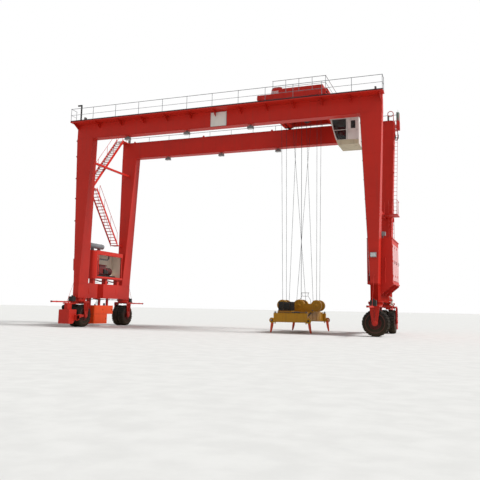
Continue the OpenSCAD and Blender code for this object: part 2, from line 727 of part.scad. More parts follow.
// Weather cover over the hoist machinery: high rounded end, long body with a roof hatch, low step
module machinery_cover() {
    z = trolley_deck_z;
    half_w = 2300;
    round_r = 260;
    end_x0 = hoist_x - 1900;
    end_x1 = hoist_x - 900;
    body_x1 = hoist_x + 2200;
    end_h = 1060;
    body_h = 900;
    color(red) {
        block([end_x1 - 1, -half_w, z], [body_x1, half_w, z + body_h]);
        plate_xz([[end_x0, z], [end_x1, z], [end_x1, z + end_h - round_r],
                  [end_x0 + 120, z + end_h - round_r]], -half_w, half_w);
        block([end_x0 + 120 + round_r, -half_w, z + end_h - round_r - 1],
              [end_x1 - round_r, half_w, z + end_h]);
        for (x = [end_x0 + 120 + round_r, end_x1 - round_r])
            translate([x, half_w, z + end_h - round_r]) rotate([90, 0, 0])
                cylinder(h = 2 * half_w, r = round_r, $fn = 60);
        plate_xz([[body_x1 - 1, z], [body_x1 + 420, z], [body_x1 + 420, z + 420], [body_x1 + 300, z + 640],
                  [body_x1 - 1, z + 640]], -half_w + 200, half_w - 200);
        block([hoist_x - 250, -half_w + 400, z + body_h - 1], [hoist_x + 850, half_w - 400, z + body_h + 70]);
    }
}

// Handrail round the trolley deck
module trolley_railing() {
    x0 = trolley_x0 + 1150;
    x1 = trolley_x1 - 60;
    y = girder_y - 70;
    top = trolley_deck_z + rail_h - rail_d / 2;
    color(grey) {
        for (s = [-1, 1]) rail_run(x0, x1, s * y, trolley_deck_z, 4);
        bar([x1, -y, top], [x1, y, top], rail_d * 0.9);
        bar([x1, -y, trolley_deck_z + rail_h / 2], [x1, y, trolley_deck_z + rail_h / 2], knee_d * 0.9);
    }
}

// Side outline of the cab: the front leans outwards to the top, the lower back bulges
function cab_side(inset) = [
    [cab_x0 + inset, cab_top - inset],
    [cab_x1 - inset, cab_top - inset],
    [cab_x1 - inset, cab_bottom + inset],
    [cab_x0 + 600 + inset, cab_bottom + inset],
    [cab_x0 + 380 + inset, cab_bottom + 600]
];

// Cab body: hollow shell with window and door openings cut through its walls
module cab_shell() {
    color(cream) difference() {
        plate_xz(cab_side(0), cab_y0, cab_y0 + cab_w);
        plate_xz(cab_side(cab_wall), cab_y0 + cab_wall, cab_y0 + cab_w - cab_wall);
        for (y = [cab_y0 - 10, cab_y0 + cab_w - cab_wall - 10]) {
            plate_xz([[cab_x0 + 170, cab_top - 120], [cab_x0 + 1200, cab_top - 120],
                      [cab_x0 + 1200, cab_top - 880], [cab_x0 + 320, cab_top - 880]],
                     y, y + cab_wall + 20);
            plate_xz([[cab_x0 + 340, cab_top - 960], [cab_x0 + 1200, cab_top - 960],
                      [cab_x0 + 1200, cab_top - 1640], [cab_x0 + 560, cab_top - 1640],
                      [cab_x0 + 480, cab_top - 1420]],
                     y, y + cab_wall + 20);
        }
        plate_xz([[cab_x0 - 60, cab_top - 120], [cab_x0 + 130, cab_top - 120],
                  [cab_x0 + 460, cab_bottom + 640], [cab_x0 + 300, cab_bottom + 640]],
                 cab_y0 + 130, cab_y0 + cab_w - 130);
        block([cab_x0 + 1330, cab_y0 - 10, cab_bottom + 120],
              [cab_x0 + 2030, cab_y0 + cab_wall + 10, cab_top - 100]);
    }
}

// Glazing set in the cab's side openings and leaning front
module cab_glass() {
    g = 8;
    color([0.15, 0.17, 0.18, 0.6]) {
        for (y = [cab_y0 + 20, cab_y0 + cab_w - 20 - g]) {
            plate_xz([[cab_x0 + 170, cab_top - 120], [cab_x0 + 1200, cab_top - 120],
                      [cab_x0 + 1200, cab_top - 880], [cab_x0 + 320, cab_top - 880]], y, y + g);
            plate_xz([[cab_x0 + 340, cab_top - 960], [cab_x0 + 1200, cab_top - 960],
                      [cab_x0 + 1200, cab_top - 1640], [cab_x0 + 560, cab_top - 1640],
                      [cab_x0 + 480, cab_top - 1420]], y, y + g);
        }
        block([cab_x0 + 1560, cab_y0 + 20, cab_top - 860], [cab_x0 + 1900, cab_y0 + 20 + g, cab_top - 260]);
        plate_xz([[cab_x0 + 50, cab_top - 120], [cab_x0 + 62, cab_top - 120],
                  [cab_x0 + 398, cab_bottom + 640], [cab_x0 + 386, cab_bottom + 640]],
                 cab_y0 + 130, cab_y0 + cab_w - 130);
    }
}

// Door in the cab's front side, with a small window through it
module cab_door() {
    color(cream) difference() {
        block([cab_x0 + 1330 + seat, cab_y0 + 5, cab_bottom + 120 + seat],
              [cab_x0 + 2030 - seat, cab_y0 + 50, cab_top - 100 - seat]);
        block([cab_x0 + 1560, cab_y0 - 10, cab_top - 860],
              [cab_x0 + 1900, cab_y0 + 60, cab_top - 260]);
    }
}

headblock_top = headblock_z + 560;
lobe_z = headblock_z + 431;
lobes = [[-1300, 400], [0, 430], [1300, 400]];
cheek_y = 500;

// Rope falls from the middle of the hoist: top x, top y, bottom x, bottom y, bottom z
falls = [
    [-1450, -700, -1300, -cheek_y, lobe_z + 400], [-1450, 700, -1300, cheek_y, lobe_z + 400],
    [1400, -700, 1300, -cheek_y, lobe_z + 400], [1400, 700, 1300, cheek_y, lobe_z + 400],
    [-150, -700, -800, -cheek_y, headblock_top], [650, 700, -500, cheek_y, headblock_top],
    [-650, -700, 500, -cheek_y, headblock_top], [150, 700, 800, cheek_y, headblock_top],
    [0, 0, 0, 0, headblock_z + 460]
];

// Steel ropes from the trolley to the headblock, and the feed cable in the middle
module hoist_ropes() {
    top_z = trolley_deck_z - deck_t - seat;
    color(dark_grey) for (f = falls) {
        side = norm([f[0] - f[2], f[1] - f[3]]);
        dip = rope_d / 2 * side / (top_z - f[4]);
        bar([hoist_x + f[0], f[1], top_z - dip], [hoist_x + f[2], f[3], f[4] + seat + dip], rope_d, 6);
    }
}

// Headblock: two cheeks with round sheave housings, joined by cross members
module headblock() {
    color(ochre) {
        for (s = [-1, 1]) translate([hoist_x, s * cheek_y, 0]) {
            block([-1300, -130, headblock_z], [1300, 130, headblock_top]);
            for (l = lobes)
                translate([l[0], 130, lobe_z]) rotate([90, 0, 0])
                    cylinder(h = 260, r = l[1], $fn = 48);
        }
        for (x = [-900, 0, 900])
            block([hoist_x + x - 150, -371, headblock_z + 60], [hoist_x + x + 150, 371, headblock_z + 460]);
    }
}

// Slatted basket that takes the feed cable
module cable_basket() {
    x0 = hoist_x - 1150;
    y0 = -2100;
    z0 = headblock_z + 20;
    color(black) {
        block([x0, y0, z0], [x0 + 950, y0 + 950, z0 + 30]);
        for (i = [0 : 6], s = [0, 1]) {
            block([x0 + i * 150, y0 + s * 920, z0 + 29], [x0 + i * 150 + 50, y0 + s * 920 + 30, z0 + 650]);
            block([x0 + s * 920, y0 + i * 150, z0 + 29], [x0 + s * 920 + 30, y0 + i * 150 + 50, z0 + 650]);
        }
        for (s = [0, 1]) {
            block([x0, y0 + s * 920, z0 + 600], [x0 + 950, y0 + s * 920 + 30, z0 + 650]);
            block([x0 + s * 920, y0, z0 + 600], [x0 + s * 920 + 30, y0 + 950, z0 + 650]);
        }
    }
}

frame_half = spreader_l / 2 - 350;
end_beam_t = 300;
arm_w = 300;
arm_h = 420;
arm_side = 15;
arm_z = spreader_z + 140;
arm_x = [380, 820];
lock_x = spreader_w / 2 - 90.5;
lock_y = spreader_l / 2 - 103.5;
flip_x = spreader_w / 2 + 110;
flip_y = spreader_l / 2 - end_beam_t / 2;
flip_z = spreader_z + 120;
flip_w = 120;
ear_t = 40;
flip_pin_d = 60;

// Spreader main frame: twin boxes with channels for the sliding arms, and cross members
module spreader_frame() {
    color(ochre) {
        for (s = [-1, 1]) mirror([s < 0 ? 1 : 0, 0, 0]) translate([s * hoist_x, 0, 0]) difference() {
            block([180, -frame_half, spreader_z + 60], [1020, frame_half, spreader_z + 700]);
            for (x = arm_x)
                block([x - arm_w / 2 - arm_side, -frame_half - 1, arm_z],
                      [x + arm_w / 2 + arm_side, frame_half + 1, arm_z + arm_h + arm_side]);
        }
        for (y = [-frame_half, -150, frame_half - 300])
            block([hoist_x - 181, y, spreader_z + 200], [hoist_x + 181, y + 300, spreader_z + 700]);
        block([hoist_x - 1220, -1150, spreader_z + 699], [hoist_x + 1220, 1150, headblock_z]);
        block([hoist_x - 1180, -2150, spreader_z + 699], [hoist_x - 180, -1149, headblock_z + 20]);
    }
}

// Telescopic end: cross beam with twistlocks and flipper ears, and two arms in the frame
module end_beam(s) {
    x = s < 0 ? arm_x[1] : arm_x[0];
    color(ochre) translate([hoist_x, 0, 0]) mirror([0, s < 0 ? 1 : 0, 0]) {
        for (k = [-1, 1])
            block([k * x - arm_w / 2, -frame_half + 80, arm_z + seat],
                  [k * x + arm_w / 2, spreader_l / 2 - end_beam_t + 1, arm_z + arm_h]);
        block([-spreader_w / 2, spreader_l / 2 - end_beam_t, spreader_z],
              [spreader_w / 2, spreader_l / 2, spreader_z + 640]);
        for (k = [-1, 1]) {
            translate([k * lock_x, lock_y, spreader_z - 110]) cylinder(h = 111, r = 40, $fn = 36);
            for (e = [-1, 1])
                translate([0, flip_y + e * (flip_w / 2 + 5 + ear_t / 2), 0]) {
                    plate_xz([[k * (spreader_w / 2 - 1), flip_z - 80], [k * flip_x, flip_z - 80],
                              [k * flip_x, flip_z + 80], [k * (spreader_w / 2 - 1), flip_z + 80]],
                             -ear_t / 2, ear_t / 2);
                    translate([k * flip_x, -ear_t / 2, flip_z]) rotate([-90, 0, 0])
                        cylinder(h = ear_t, r = 80, $fn = 36);
                }
            translate([k * flip_x, flip_y - flip_w / 2 - 5 - ear_t, flip_z]) rotate([-90, 0, 0])
                cylinder(h = flip_w + 10 + 2 * ear_t, d = flip_pin_d, $fn = 36);
        }
    }
}

// Guide flipper hanging at a corner of the spreader, on a pin along Y
module flipper(sx, sy) {
    color(orange) translate([hoist_x + sx * flip_x, sy * flip_y, flip_z]) mirror([sx < 0 ? 1 : 0, 0, 0])
        difference() {
            union() {
                translate([0, -flip_w / 2, 0]) rotate([-90, 0, 0]) cylinder(h = flip_w, r = 100, $fn = 36);
                plate_xz([[-90, 0], [90, 0], [150, -520], [170, -850], [90, -850], [-20, -480]],
                         -flip_w / 2, flip_w / 2);
            }
            translate([0, -flip_w / 2 - 1, 0]) rotate([-90, 0, 0])
                cylinder(h = flip_w + 2, d = flip_pin_d + 2 * running, $fn = 36);
        }
}

// Terminal at the head of the rear right leg: end plate, shelf, housing, domed cap and a loop of pipe
module cable_terminal() {
    z = girder_bottom + 800;
    reach = 440;
    y0 = girder_y - 150;
    y1 = girder_y + 150;
    cap_d = 260;
    cap_h = 620;
    loop_r = 220;
    loop_h = 750;
    pipe_d = 60;
    color(dark_red) {
        translate([half_span, 0, 0]) {
            block([0, y0 - 50, z - 650], [60, y1 + 50, z + 650]);
            block([59, y0, z - 60], [reach, y1, z]);
            block([180, y0, z - 1], [reach, y1, z + 650]);
        }
        translate([half_span - 300, half_depth - 100, girder_top]) {
            translate([0, 0, loop_h]) rotate([90, 0, 0]) rotate_extrude($fn = 60)
                translate([loop_r, 0]) circle(d = pipe_d, $fn = 24);
            for (s = [-1, 1]) translate([s * loop_r, 0, 0]) cylinder(h = loop_h, d = pipe_d * 0.9, $fn = 24);
        }
    }
    color(grey) translate([half_span + 310, girder_y, z + 649]) {
        cylinder(h = cap_h, d = cap_d, $fn = 36);
        translate([0, 0, cap_h]) sphere(d = cap_d, $fn = 36);
    }
}

girder(-1);  // front_girder
girder(1);  // rear_girder
leg(-1, -1);  // leg_front_left
leg(-1, 1);  // leg_rear_left
leg(1, -1);  // leg_front_right
leg(1, 1);  // leg_rear_right
sill(-1);  // sill_left
sill(1);  // sill_right
leg_ties();
walkways();
railings();
track_rails();
lower_stair();
upper_stair();
stair_landings();
right_ladder();
engine_room();
engine_panel();
muffler();
electrical_house();
house_doors();
hydraulic_unit();
unit_hanger();
fork(-1, -1, -90, true);  // fork_front_left
fork(-1, 1, 90, false);  // fork_rear_left
fork(1, -1, 0, false);  // fork_front_right
fork(1, 1, 90, true);  // fork_rear_right
wheel_pair(-1, -1, -90);  // wheels_front_left
wheel_pair(-1, 1, 90);  // wheels_rear_left
wheel_pair(1, -1, 0);  // wheels_front_right
wheel_pair(1, 1, 90);  // wheels_rear_right
bumper_arms();
arm_boxes();
leg_cabinets();
floodlights();
bent_post();
trolley_frame();
trolley_wheels();
machinery_cover();
trolley_railing();
cab_shell();
cab_glass();
cab_door();
hoist_ropes();
headblock();
cable_basket();
spreader_frame();
end_beam(-1);  // end_beam_front
end_beam(1);  // end_beam_rear
flipper(-1, -1);  // flipper_front_left
flipper(1, -1);  // flipper_front_right
flipper(-1, 1);  // flipper_rear_left
flipper(1, 1);  // flipper_rear_right
cable_terminal();
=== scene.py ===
"""Looks of the rubber tyred gantry crane: finishes, fittings, ropes, lamps and the studio round it."""

import json
from itertools import product
from math import cos, radians, sin, tau

import bmesh
import bpy
from mathutils import Matrix, Vector


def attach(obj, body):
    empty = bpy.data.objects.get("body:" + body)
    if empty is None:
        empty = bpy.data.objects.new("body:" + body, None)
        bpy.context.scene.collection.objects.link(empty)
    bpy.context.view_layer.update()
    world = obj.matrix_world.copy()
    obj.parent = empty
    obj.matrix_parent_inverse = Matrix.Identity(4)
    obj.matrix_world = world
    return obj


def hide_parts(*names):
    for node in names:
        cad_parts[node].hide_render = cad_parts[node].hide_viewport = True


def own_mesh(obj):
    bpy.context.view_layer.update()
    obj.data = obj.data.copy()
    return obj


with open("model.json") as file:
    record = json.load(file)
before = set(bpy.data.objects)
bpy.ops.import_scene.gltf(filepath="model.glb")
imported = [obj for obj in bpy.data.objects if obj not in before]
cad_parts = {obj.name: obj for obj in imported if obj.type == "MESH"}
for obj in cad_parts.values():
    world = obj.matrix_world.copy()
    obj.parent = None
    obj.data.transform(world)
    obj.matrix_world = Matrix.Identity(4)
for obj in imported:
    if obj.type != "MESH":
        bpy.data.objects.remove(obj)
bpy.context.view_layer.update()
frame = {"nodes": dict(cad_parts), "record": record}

# Sizes shared with the frame, in metres
HALF_SPAN = 12.4
HALF_DEPTH = 3.9
GIRDER_TOP = 16.73
GIRDER_BOTTOM = 15.25
WALK_TOP = 16.55
GIRDER_Y = 3.55
GIRDER_W = 0.7
LEG_IN = 10.9
OUT_TAPER, IN_TAPER, DEPTH_TAPER = 0.45, 0.55, 0.6
SILL_BOTTOM = 2.3
SILL_TOP = 3.5
CORNER_X = 11.7
CORNER_Y = 3.25
AXLE_Z = 0.89
HOIST_X = 5.7
TOE_BOARD = 0.1

ENDS = (-1, 1)
CORNERS = tuple(product(ENDS, ENDS))
STRAIGHT = Matrix.Identity(3)
RIGHT, REAR, FRONT, UP, DOWN = (1, 0, 0), (0, 1, 0), (0, -1, 0), (0, 0, 1), (0, 0, -1)


# Camera

def place_camera():
    """Sets the camera where the photograph was taken, beside the right legs at eye height."""
    yaw, pitch, roll = 0.3604, 0.15189, 0.018397
    focal_px, frame_px, centre_y = 612.7, 480.0, 214.0
    forward = Vector((-sin(yaw) * cos(pitch), cos(yaw) * cos(pitch), sin(pitch)))
    right = forward.cross(Vector((0, 0, 1))).normalized()
    up = right.cross(forward)
    right, up = right * cos(roll) + up * sin(roll), up * cos(roll) - right * sin(roll)
    turn = Matrix((right, up, -forward)).transposed().to_4x4()
    data = bpy.data.cameras.new("photo_camera")
    data.sensor_width = 36.0
    data.lens = focal_px / frame_px * data.sensor_width
    data.shift_y = (centre_y - frame_px / 2) / frame_px
    data.clip_end = 2000.0
    camera = bpy.data.objects.new("photo_camera", data)
    camera.matrix_world = Matrix.Translation((17.695, -45.224, 1.729)) @ turn
    bpy.context.scene.collection.objects.link(camera)
    bpy.context.scene.camera = camera


place_camera()


# Nodes

def sockets(tree, side, kind, *names):
    for name in names:
        tree.interface.new_socket(name=name, in_out=side, socket_type="NodeSocket" + kind)


def feed(tree, node, inputs):
    """Feeds a node's inputs, each with another node's output or a constant."""
    for key, value in inputs.items():
        if isinstance(value, bpy.types.NodeSocket):
            tree.links.new(value, node.inputs[key])
        elif value is not None:
            node.inputs[key].default_value = value


def add_node(tree, kind, inputs={}, **settings):
    node = tree.nodes.new(kind)
    for key, value in settings.items():
        setattr(node, key, value)
    feed(tree, node, inputs)
    return node


def math_node(tree, operation, first, second=None, clamp=False):
    return add_node(tree, "ShaderNodeMath", {0: first, 1: second}, operation=operation, use_clamp=clamp).outputs[0]


def noise_node(tree, coordinates, scale, detail, roughness=0.55):
    return add_node(tree, "ShaderNodeTexNoise", {
        "Vector": coordinates, "Scale": scale, "Detail": detail, "Roughness": roughness}).outputs["Fac"]


def ramp(tree, value, low, high):
    return add_node(tree, "ShaderNodeMapRange", {"Value": value, "From Min": low, "From Max": high},
                    interpolation_type="SMOOTHSTEP").outputs["Result"]


def mix_colour(tree, factor, first, second):
    return add_node(tree, "ShaderNodeMix", {0: factor, 6: first, 7: second}, data_type="RGBA").outputs[2]


def z_of(tree, vector):
    return add_node(tree, "ShaderNodeSeparateXYZ", {0: vector}).outputs["Z"]


def object_place(tree):
    return add_node(tree, "ShaderNodeTexCoord").outputs["Object"]


def weathering_group():
    """Rain streaks, dust, chips and uneven paint, all from Object coordinates."""
    tree = bpy.data.node_groups.new("weathering", "ShaderNodeTree")
    sockets(tree, "INPUT", "Float", "Streaks", "Dust", "Dust Height", "Chips", "Unevenness")
    sockets(tree, "INPUT", "Color", "Paint", "Dirt", "Bare")
    sockets(tree, "OUTPUT", "Color", "Colour")
    sockets(tree, "OUTPUT", "Float", "Roughening", "Height")

    def calc(operation, first, second, clamp=False):
        return math_node(tree, operation, first, second, clamp)

    given = add_node(tree, "NodeGroupInput").outputs
    place = object_place(tree)
    stretched = add_node(tree, "ShaderNodeMapping", {"Vector": place, "Scale": (5.0, 5.0, 0.28)}).outputs[0]
    streak = ramp(tree, noise_node(tree, stretched, 1.0, 5.0), 0.5, 0.78)
    cloud = noise_node(tree, place, 0.55, 5.0)
    fine = noise_node(tree, place, 26.0, 5.0, 0.7)
    chip = ramp(tree, noise_node(tree, place, 7.0, 8.0, 0.75), 0.64, 0.7)
    low = calc("SUBTRACT", 1.0, calc("DIVIDE", z_of(tree, place), given["Dust Height"]), True)
    top = ramp(tree, z_of(tree, add_node(tree, "ShaderNodeNewGeometry").outputs["Normal"]), 0.5, 1.0)
    settled = calc("MAXIMUM", low, calc("MULTIPLY", top, 0.6))
    dust = calc("MULTIPLY", calc("MULTIPLY", settled, given["Dust"]), calc("ADD", cloud, 0.35), True)
    shade = calc("MULTIPLY", calc("SUBTRACT", cloud, 0.5), given["Unevenness"])
    uneven = add_node(tree, "ShaderNodeHueSaturation", {"Value": calc("ADD", shade, 1.0), "Color": given["Paint"]})
    worn = calc("MULTIPLY", chip, given["Chips"])
    colour = mix_colour(tree, calc("MULTIPLY", streak, given["Streaks"]), uneven.outputs[0], given["Dirt"])
    colour = mix_colour(tree, dust, colour, given["Dirt"])
    rough = calc("ADD", calc("MULTIPLY", fine, 0.12), calc("MULTIPLY", dust, 0.4))
    add_node(tree, "NodeGroupOutput", {
        "Colour": mix_colour(tree, worn, colour, given["Bare"]),
        "Roughening": calc("ADD", rough, calc("MULTIPLY", worn, 0.3)),
        "Height": calc("SUBTRACT", calc("MULTIPLY", fine, 0.3), worn),
    })
    return tree


WEATHERING = weathering_group()


# Finishes

def tone(red, green, blue):
    """Colour as seen, 0 to 1, made linear for the shader."""
    return (*(c / 12.92 if c <= 0.04045 else ((c + 0.055) / 1.055) ** 2.4 for c in (red, green, blue)), 1.0)


def finish(name, paint, rough, metal=0.0, streaks=0.25, dust=0.35, height=3.0, chips=0.12, uneven=0.35,
           bump=0.25, dirt=(0.34, 0.3, 0.26), bare=(0.27, 0.13, 0.09), coat=0.0, shine=0.3, alpha=1.0):
    """A weathered finish: paint or metal with dirt, streaks and chips over it."""
    material = bpy.data.materials.new(name)
    material.use_nodes = True
    tree = material.node_tree
    worn = add_node(tree, "ShaderNodeGroup", {
        "Streaks": streaks, "Dust": dust, "Dust Height": height, "Chips": chips, "Unevenness": uneven,
        "Paint": tone(*paint), "Dirt": tone(*dirt), "Bare": tone(*bare)}, node_tree=WEATHERING).outputs
    relief = add_node(tree, "ShaderNodeBump", {"Strength": bump, "Distance": 0.004, "Height": worn["Height"]})
    feed(tree, tree.nodes["Principled BSDF"], {
        "Base Color": worn["Colour"], "Roughness": math_node(tree, "ADD", worn["Roughening"], rough, True),
        "Metallic": metal, "Coat Weight": coat, "Coat Roughness": 0.25, "Specular IOR Level": shine,
        "Alpha": alpha, "IOR": 1.5, "Normal": relief.outputs[0]})
    return material


def glass_finish(name, tint, rough=0.04, alpha=0.5):
    return finish(name, tint, rough, streaks=0.12, dust=0.12, chips=0.0, uneven=0.1, bump=0.02,
                  dirt=(0.75, 0.74, 0.7), alpha=alpha)


def handrail_finish():
    """Grey paint with a dark maroon band over the walkways, where the toe boards are: painted shade along the walkway
    edge.
    """
    grey = (0.48, 0.49, 0.51)
    material = finish("handrail_paint", grey, 0.5, chips=0.25, dust=0.1)
    tree = material.node_tree
    away = math_node(tree, "SUBTRACT", z_of(tree, object_place(tree)), WALK_TOP + TOE_BOARD / 2)
    toe_shade = math_node(tree, "LESS_THAN", math_node(tree, "ABSOLUTE", away), TOE_BOARD / 2 + 0.002)
    worn = next(node for node in tree.nodes if node.type == "GROUP")
    # the maroon band is painted shade at toe-board height
    feed(tree, worn, {"Paint": mix_colour(tree, toe_shade, tone(*grey), tone(0.24, 0.08, 0.1))})
    return material


RED_DIRT = (0.36, 0.2, 0.15)
FINISH = {
    "portal_paint": finish("red_paint", (0.74, 0.13, 0.07), 0.45, streaks=0.16, dust=0.15, dirt=RED_DIRT),
    "rail_paint": finish("grey_rail_paint", (0.48, 0.49, 0.51), 0.5, chips=0.25, dust=0.1),
    "rail_steel": finish("rolled_steel", (0.36, 0.34, 0.33), 0.45, metal=0.6, chips=0.5, streaks=0.4),
    "tyre_rubber": finish("dusty_rubber", (0.075, 0.062, 0.055), 0.8, dust=0.35, height=1.6, chips=0.0, uneven=0.6,
                          streaks=0.1, bump=0.5, dirt=(0.36, 0.3, 0.2)),
    "unit_orange": finish("orange_paint", (1.0, 0.32, 0.03), 0.42, streaks=0.15, dust=0.15),
    "silencer_grey": finish("heat_dulled_grey", (0.46, 0.47, 0.48), 0.55, chips=0.4, streaks=0.5),
    "lamp_grey": finish("cast_lamp_grey", (0.5, 0.52, 0.52), 0.5),
    "cab_cream": finish("cab_white_paint", (0.87, 0.85, 0.83), 0.38, streaks=0.16, chips=0.04, uneven=0.12,
                        dirt=(0.52, 0.5, 0.42), coat=0.2),
    "cab_glass": glass_finish("tinted_glass", (0.16, 0.19, 0.2)),
    "spreader_ochre": finish("ochre_paint", (0.7, 0.5, 0.07), 0.45, chips=0.35, streaks=0.35, dust=0.2,
                             dirt=(0.42, 0.3, 0.14)),
    "flipper_orange": finish("scuffed_orange_paint", (0.9, 0.3, 0.12), 0.45, chips=0.4),
    "basket_black": finish("black_paint", (0.1, 0.1, 0.1), 0.5, chips=0.3),
    "panel_tan": finish("tan_paint", (0.93, 0.91, 0.84), 0.55, streaks=0.2),
    "box_black": finish("matt_black_paint", (0.12, 0.12, 0.12), 0.6),
    "rope_steel": finish("greased_rope", (0.2, 0.21, 0.23), 0.6, metal=0.2, dust=0.0, chips=0.1, streaks=0.0),
}
DARK_RED = finish("dark_red_paint", (0.42, 0.1, 0.1), 0.5)
GALVANISED = finish("galvanised_steel", (0.6, 0.61, 0.61), 0.4, metal=0.7, chips=0.2)
BRIGHT_STEEL = finish("bright_steel", (0.7, 0.7, 0.7), 0.28, metal=0.95, chips=0.1)
HOSE_BLACK = finish("black_hose", (0.09, 0.09, 0.09), 0.55, dust=0.3)
HOSE_WHITE = finish("pale_hose", (0.82, 0.81, 0.78), 0.5, streaks=0.3)
RIM_RED = finish("rim_red_paint", (0.38, 0.1, 0.09), 0.55, dust=0.3, height=2.2)
# reddish brown for the sidewall beads: dust, and a painted highlight where the bulge catches the light
BEAD_DUST_AND_HIGHLIGHT = finish("bead_dust_and_painted_highlight", (0.3, 0.16, 0.13), 0.7, dust=0.3, height=1.4, chips=0.0)
GREASE = finish("grease_black", (0.07, 0.06, 0.06), 0.35, dust=0.4)
LENS = glass_finish("lamp_lens", (0.88, 0.9, 0.9), 0.12, 0.75)
SIGN_PALE = finish("bare_sign_plate", (0.88, 0.87, 0.84), 0.4, streaks=0.3, chips=0.1)
DOOR_PAINT = finish("gloss_door_paint", (0.76, 0.16, 0.1), 0.3, streaks=0.12, dust=0.1, coat=0.9, shine=0.6)
# darker, duller red for the right sill: painted shade for the shadow the electrical house casts on it
SHADED_SILL_RED = finish("red_paint_with_painted_shade", (0.6, 0.1, 0.06), 0.85, shine=0.04, dirt=RED_DIRT)
TREAD_PAINT = finish("faded_red_paint", (0.66, 0.42, 0.42), 0.6)
SKIRT_BEIGE = finish("skirt_paint", (0.76, 0.73, 0.62), 0.5, streaks=0.5, dirt=(0.36, 0.34, 0.24))
GREY_GREEN = finish("grey_green_paint", (0.42, 0.46, 0.42), 0.5)
# very dark red for the band on the left sill: painted shade
SHADE_BAND_RED = finish("painted_shade_band_paint", (0.58, 0.06, 0.01), 0.7, streaks=0.05, dust=0.05, shine=0.1)
SEAT_CLOTH = finish("seat_cloth", (0.2, 0.22, 0.26), 0.9, dust=0.1, chips=0.0, bump=0.6)


def paint_frame():
    """Gives each CAD node the finish of its slot in the record."""
    parts = {part["node"]: part["material_slot"] for part in frame["record"]["subparts"]}
    # the right sill gets a darker red of painted shade, for the shadow under the house
    special = {"house_doors": DOOR_PAINT, "sill_right": SHADED_SILL_RED, "railings": handrail_finish()}
    for name, node in frame["nodes"].items():
        node.data.materials.clear()
        node.data.materials.append(special.get(name, FINISH[parts[name]]))


paint_frame()


# Mesh making

def plate_faces():
    """Faces of a box with broken edges: point 3 * corner + axis lies on the face across that axis."""
    faces = [(3 * c, 3 * c + 1, 3 * c + 2) for c in range(8)]
    for axis, u, v in ((0, 1, 2), (1, 2, 0), (2, 0, 1)):
        across, low, high = 4 >> axis, 4 >> u, 4 >> v
        for side in (0, across):
            faces.append([3 * (side + corner) + axis for corner in (0, low, low + high, high)])
            for first in (side, side + low):
                last = first + high
                faces.append((3 * first + axis, 3 * last + axis, 3 * last + u, 3 * first + u))
    return faces


PLATE_FACES = plate_faces()
BLOCK_FACES = ((0, 1, 3, 2), (4, 6, 7, 5), (0, 4, 5, 1), (2, 3, 7, 6), (0, 2, 6, 4), (1, 5, 7, 3))


def mount(mesh, body):
    """Makes a mesh a piece that rides on its body."""
    piece = bpy.data.objects.new(mesh.name, mesh)
    bpy.context.scene.collection.objects.link(piece)
    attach(piece, body)
    return piece


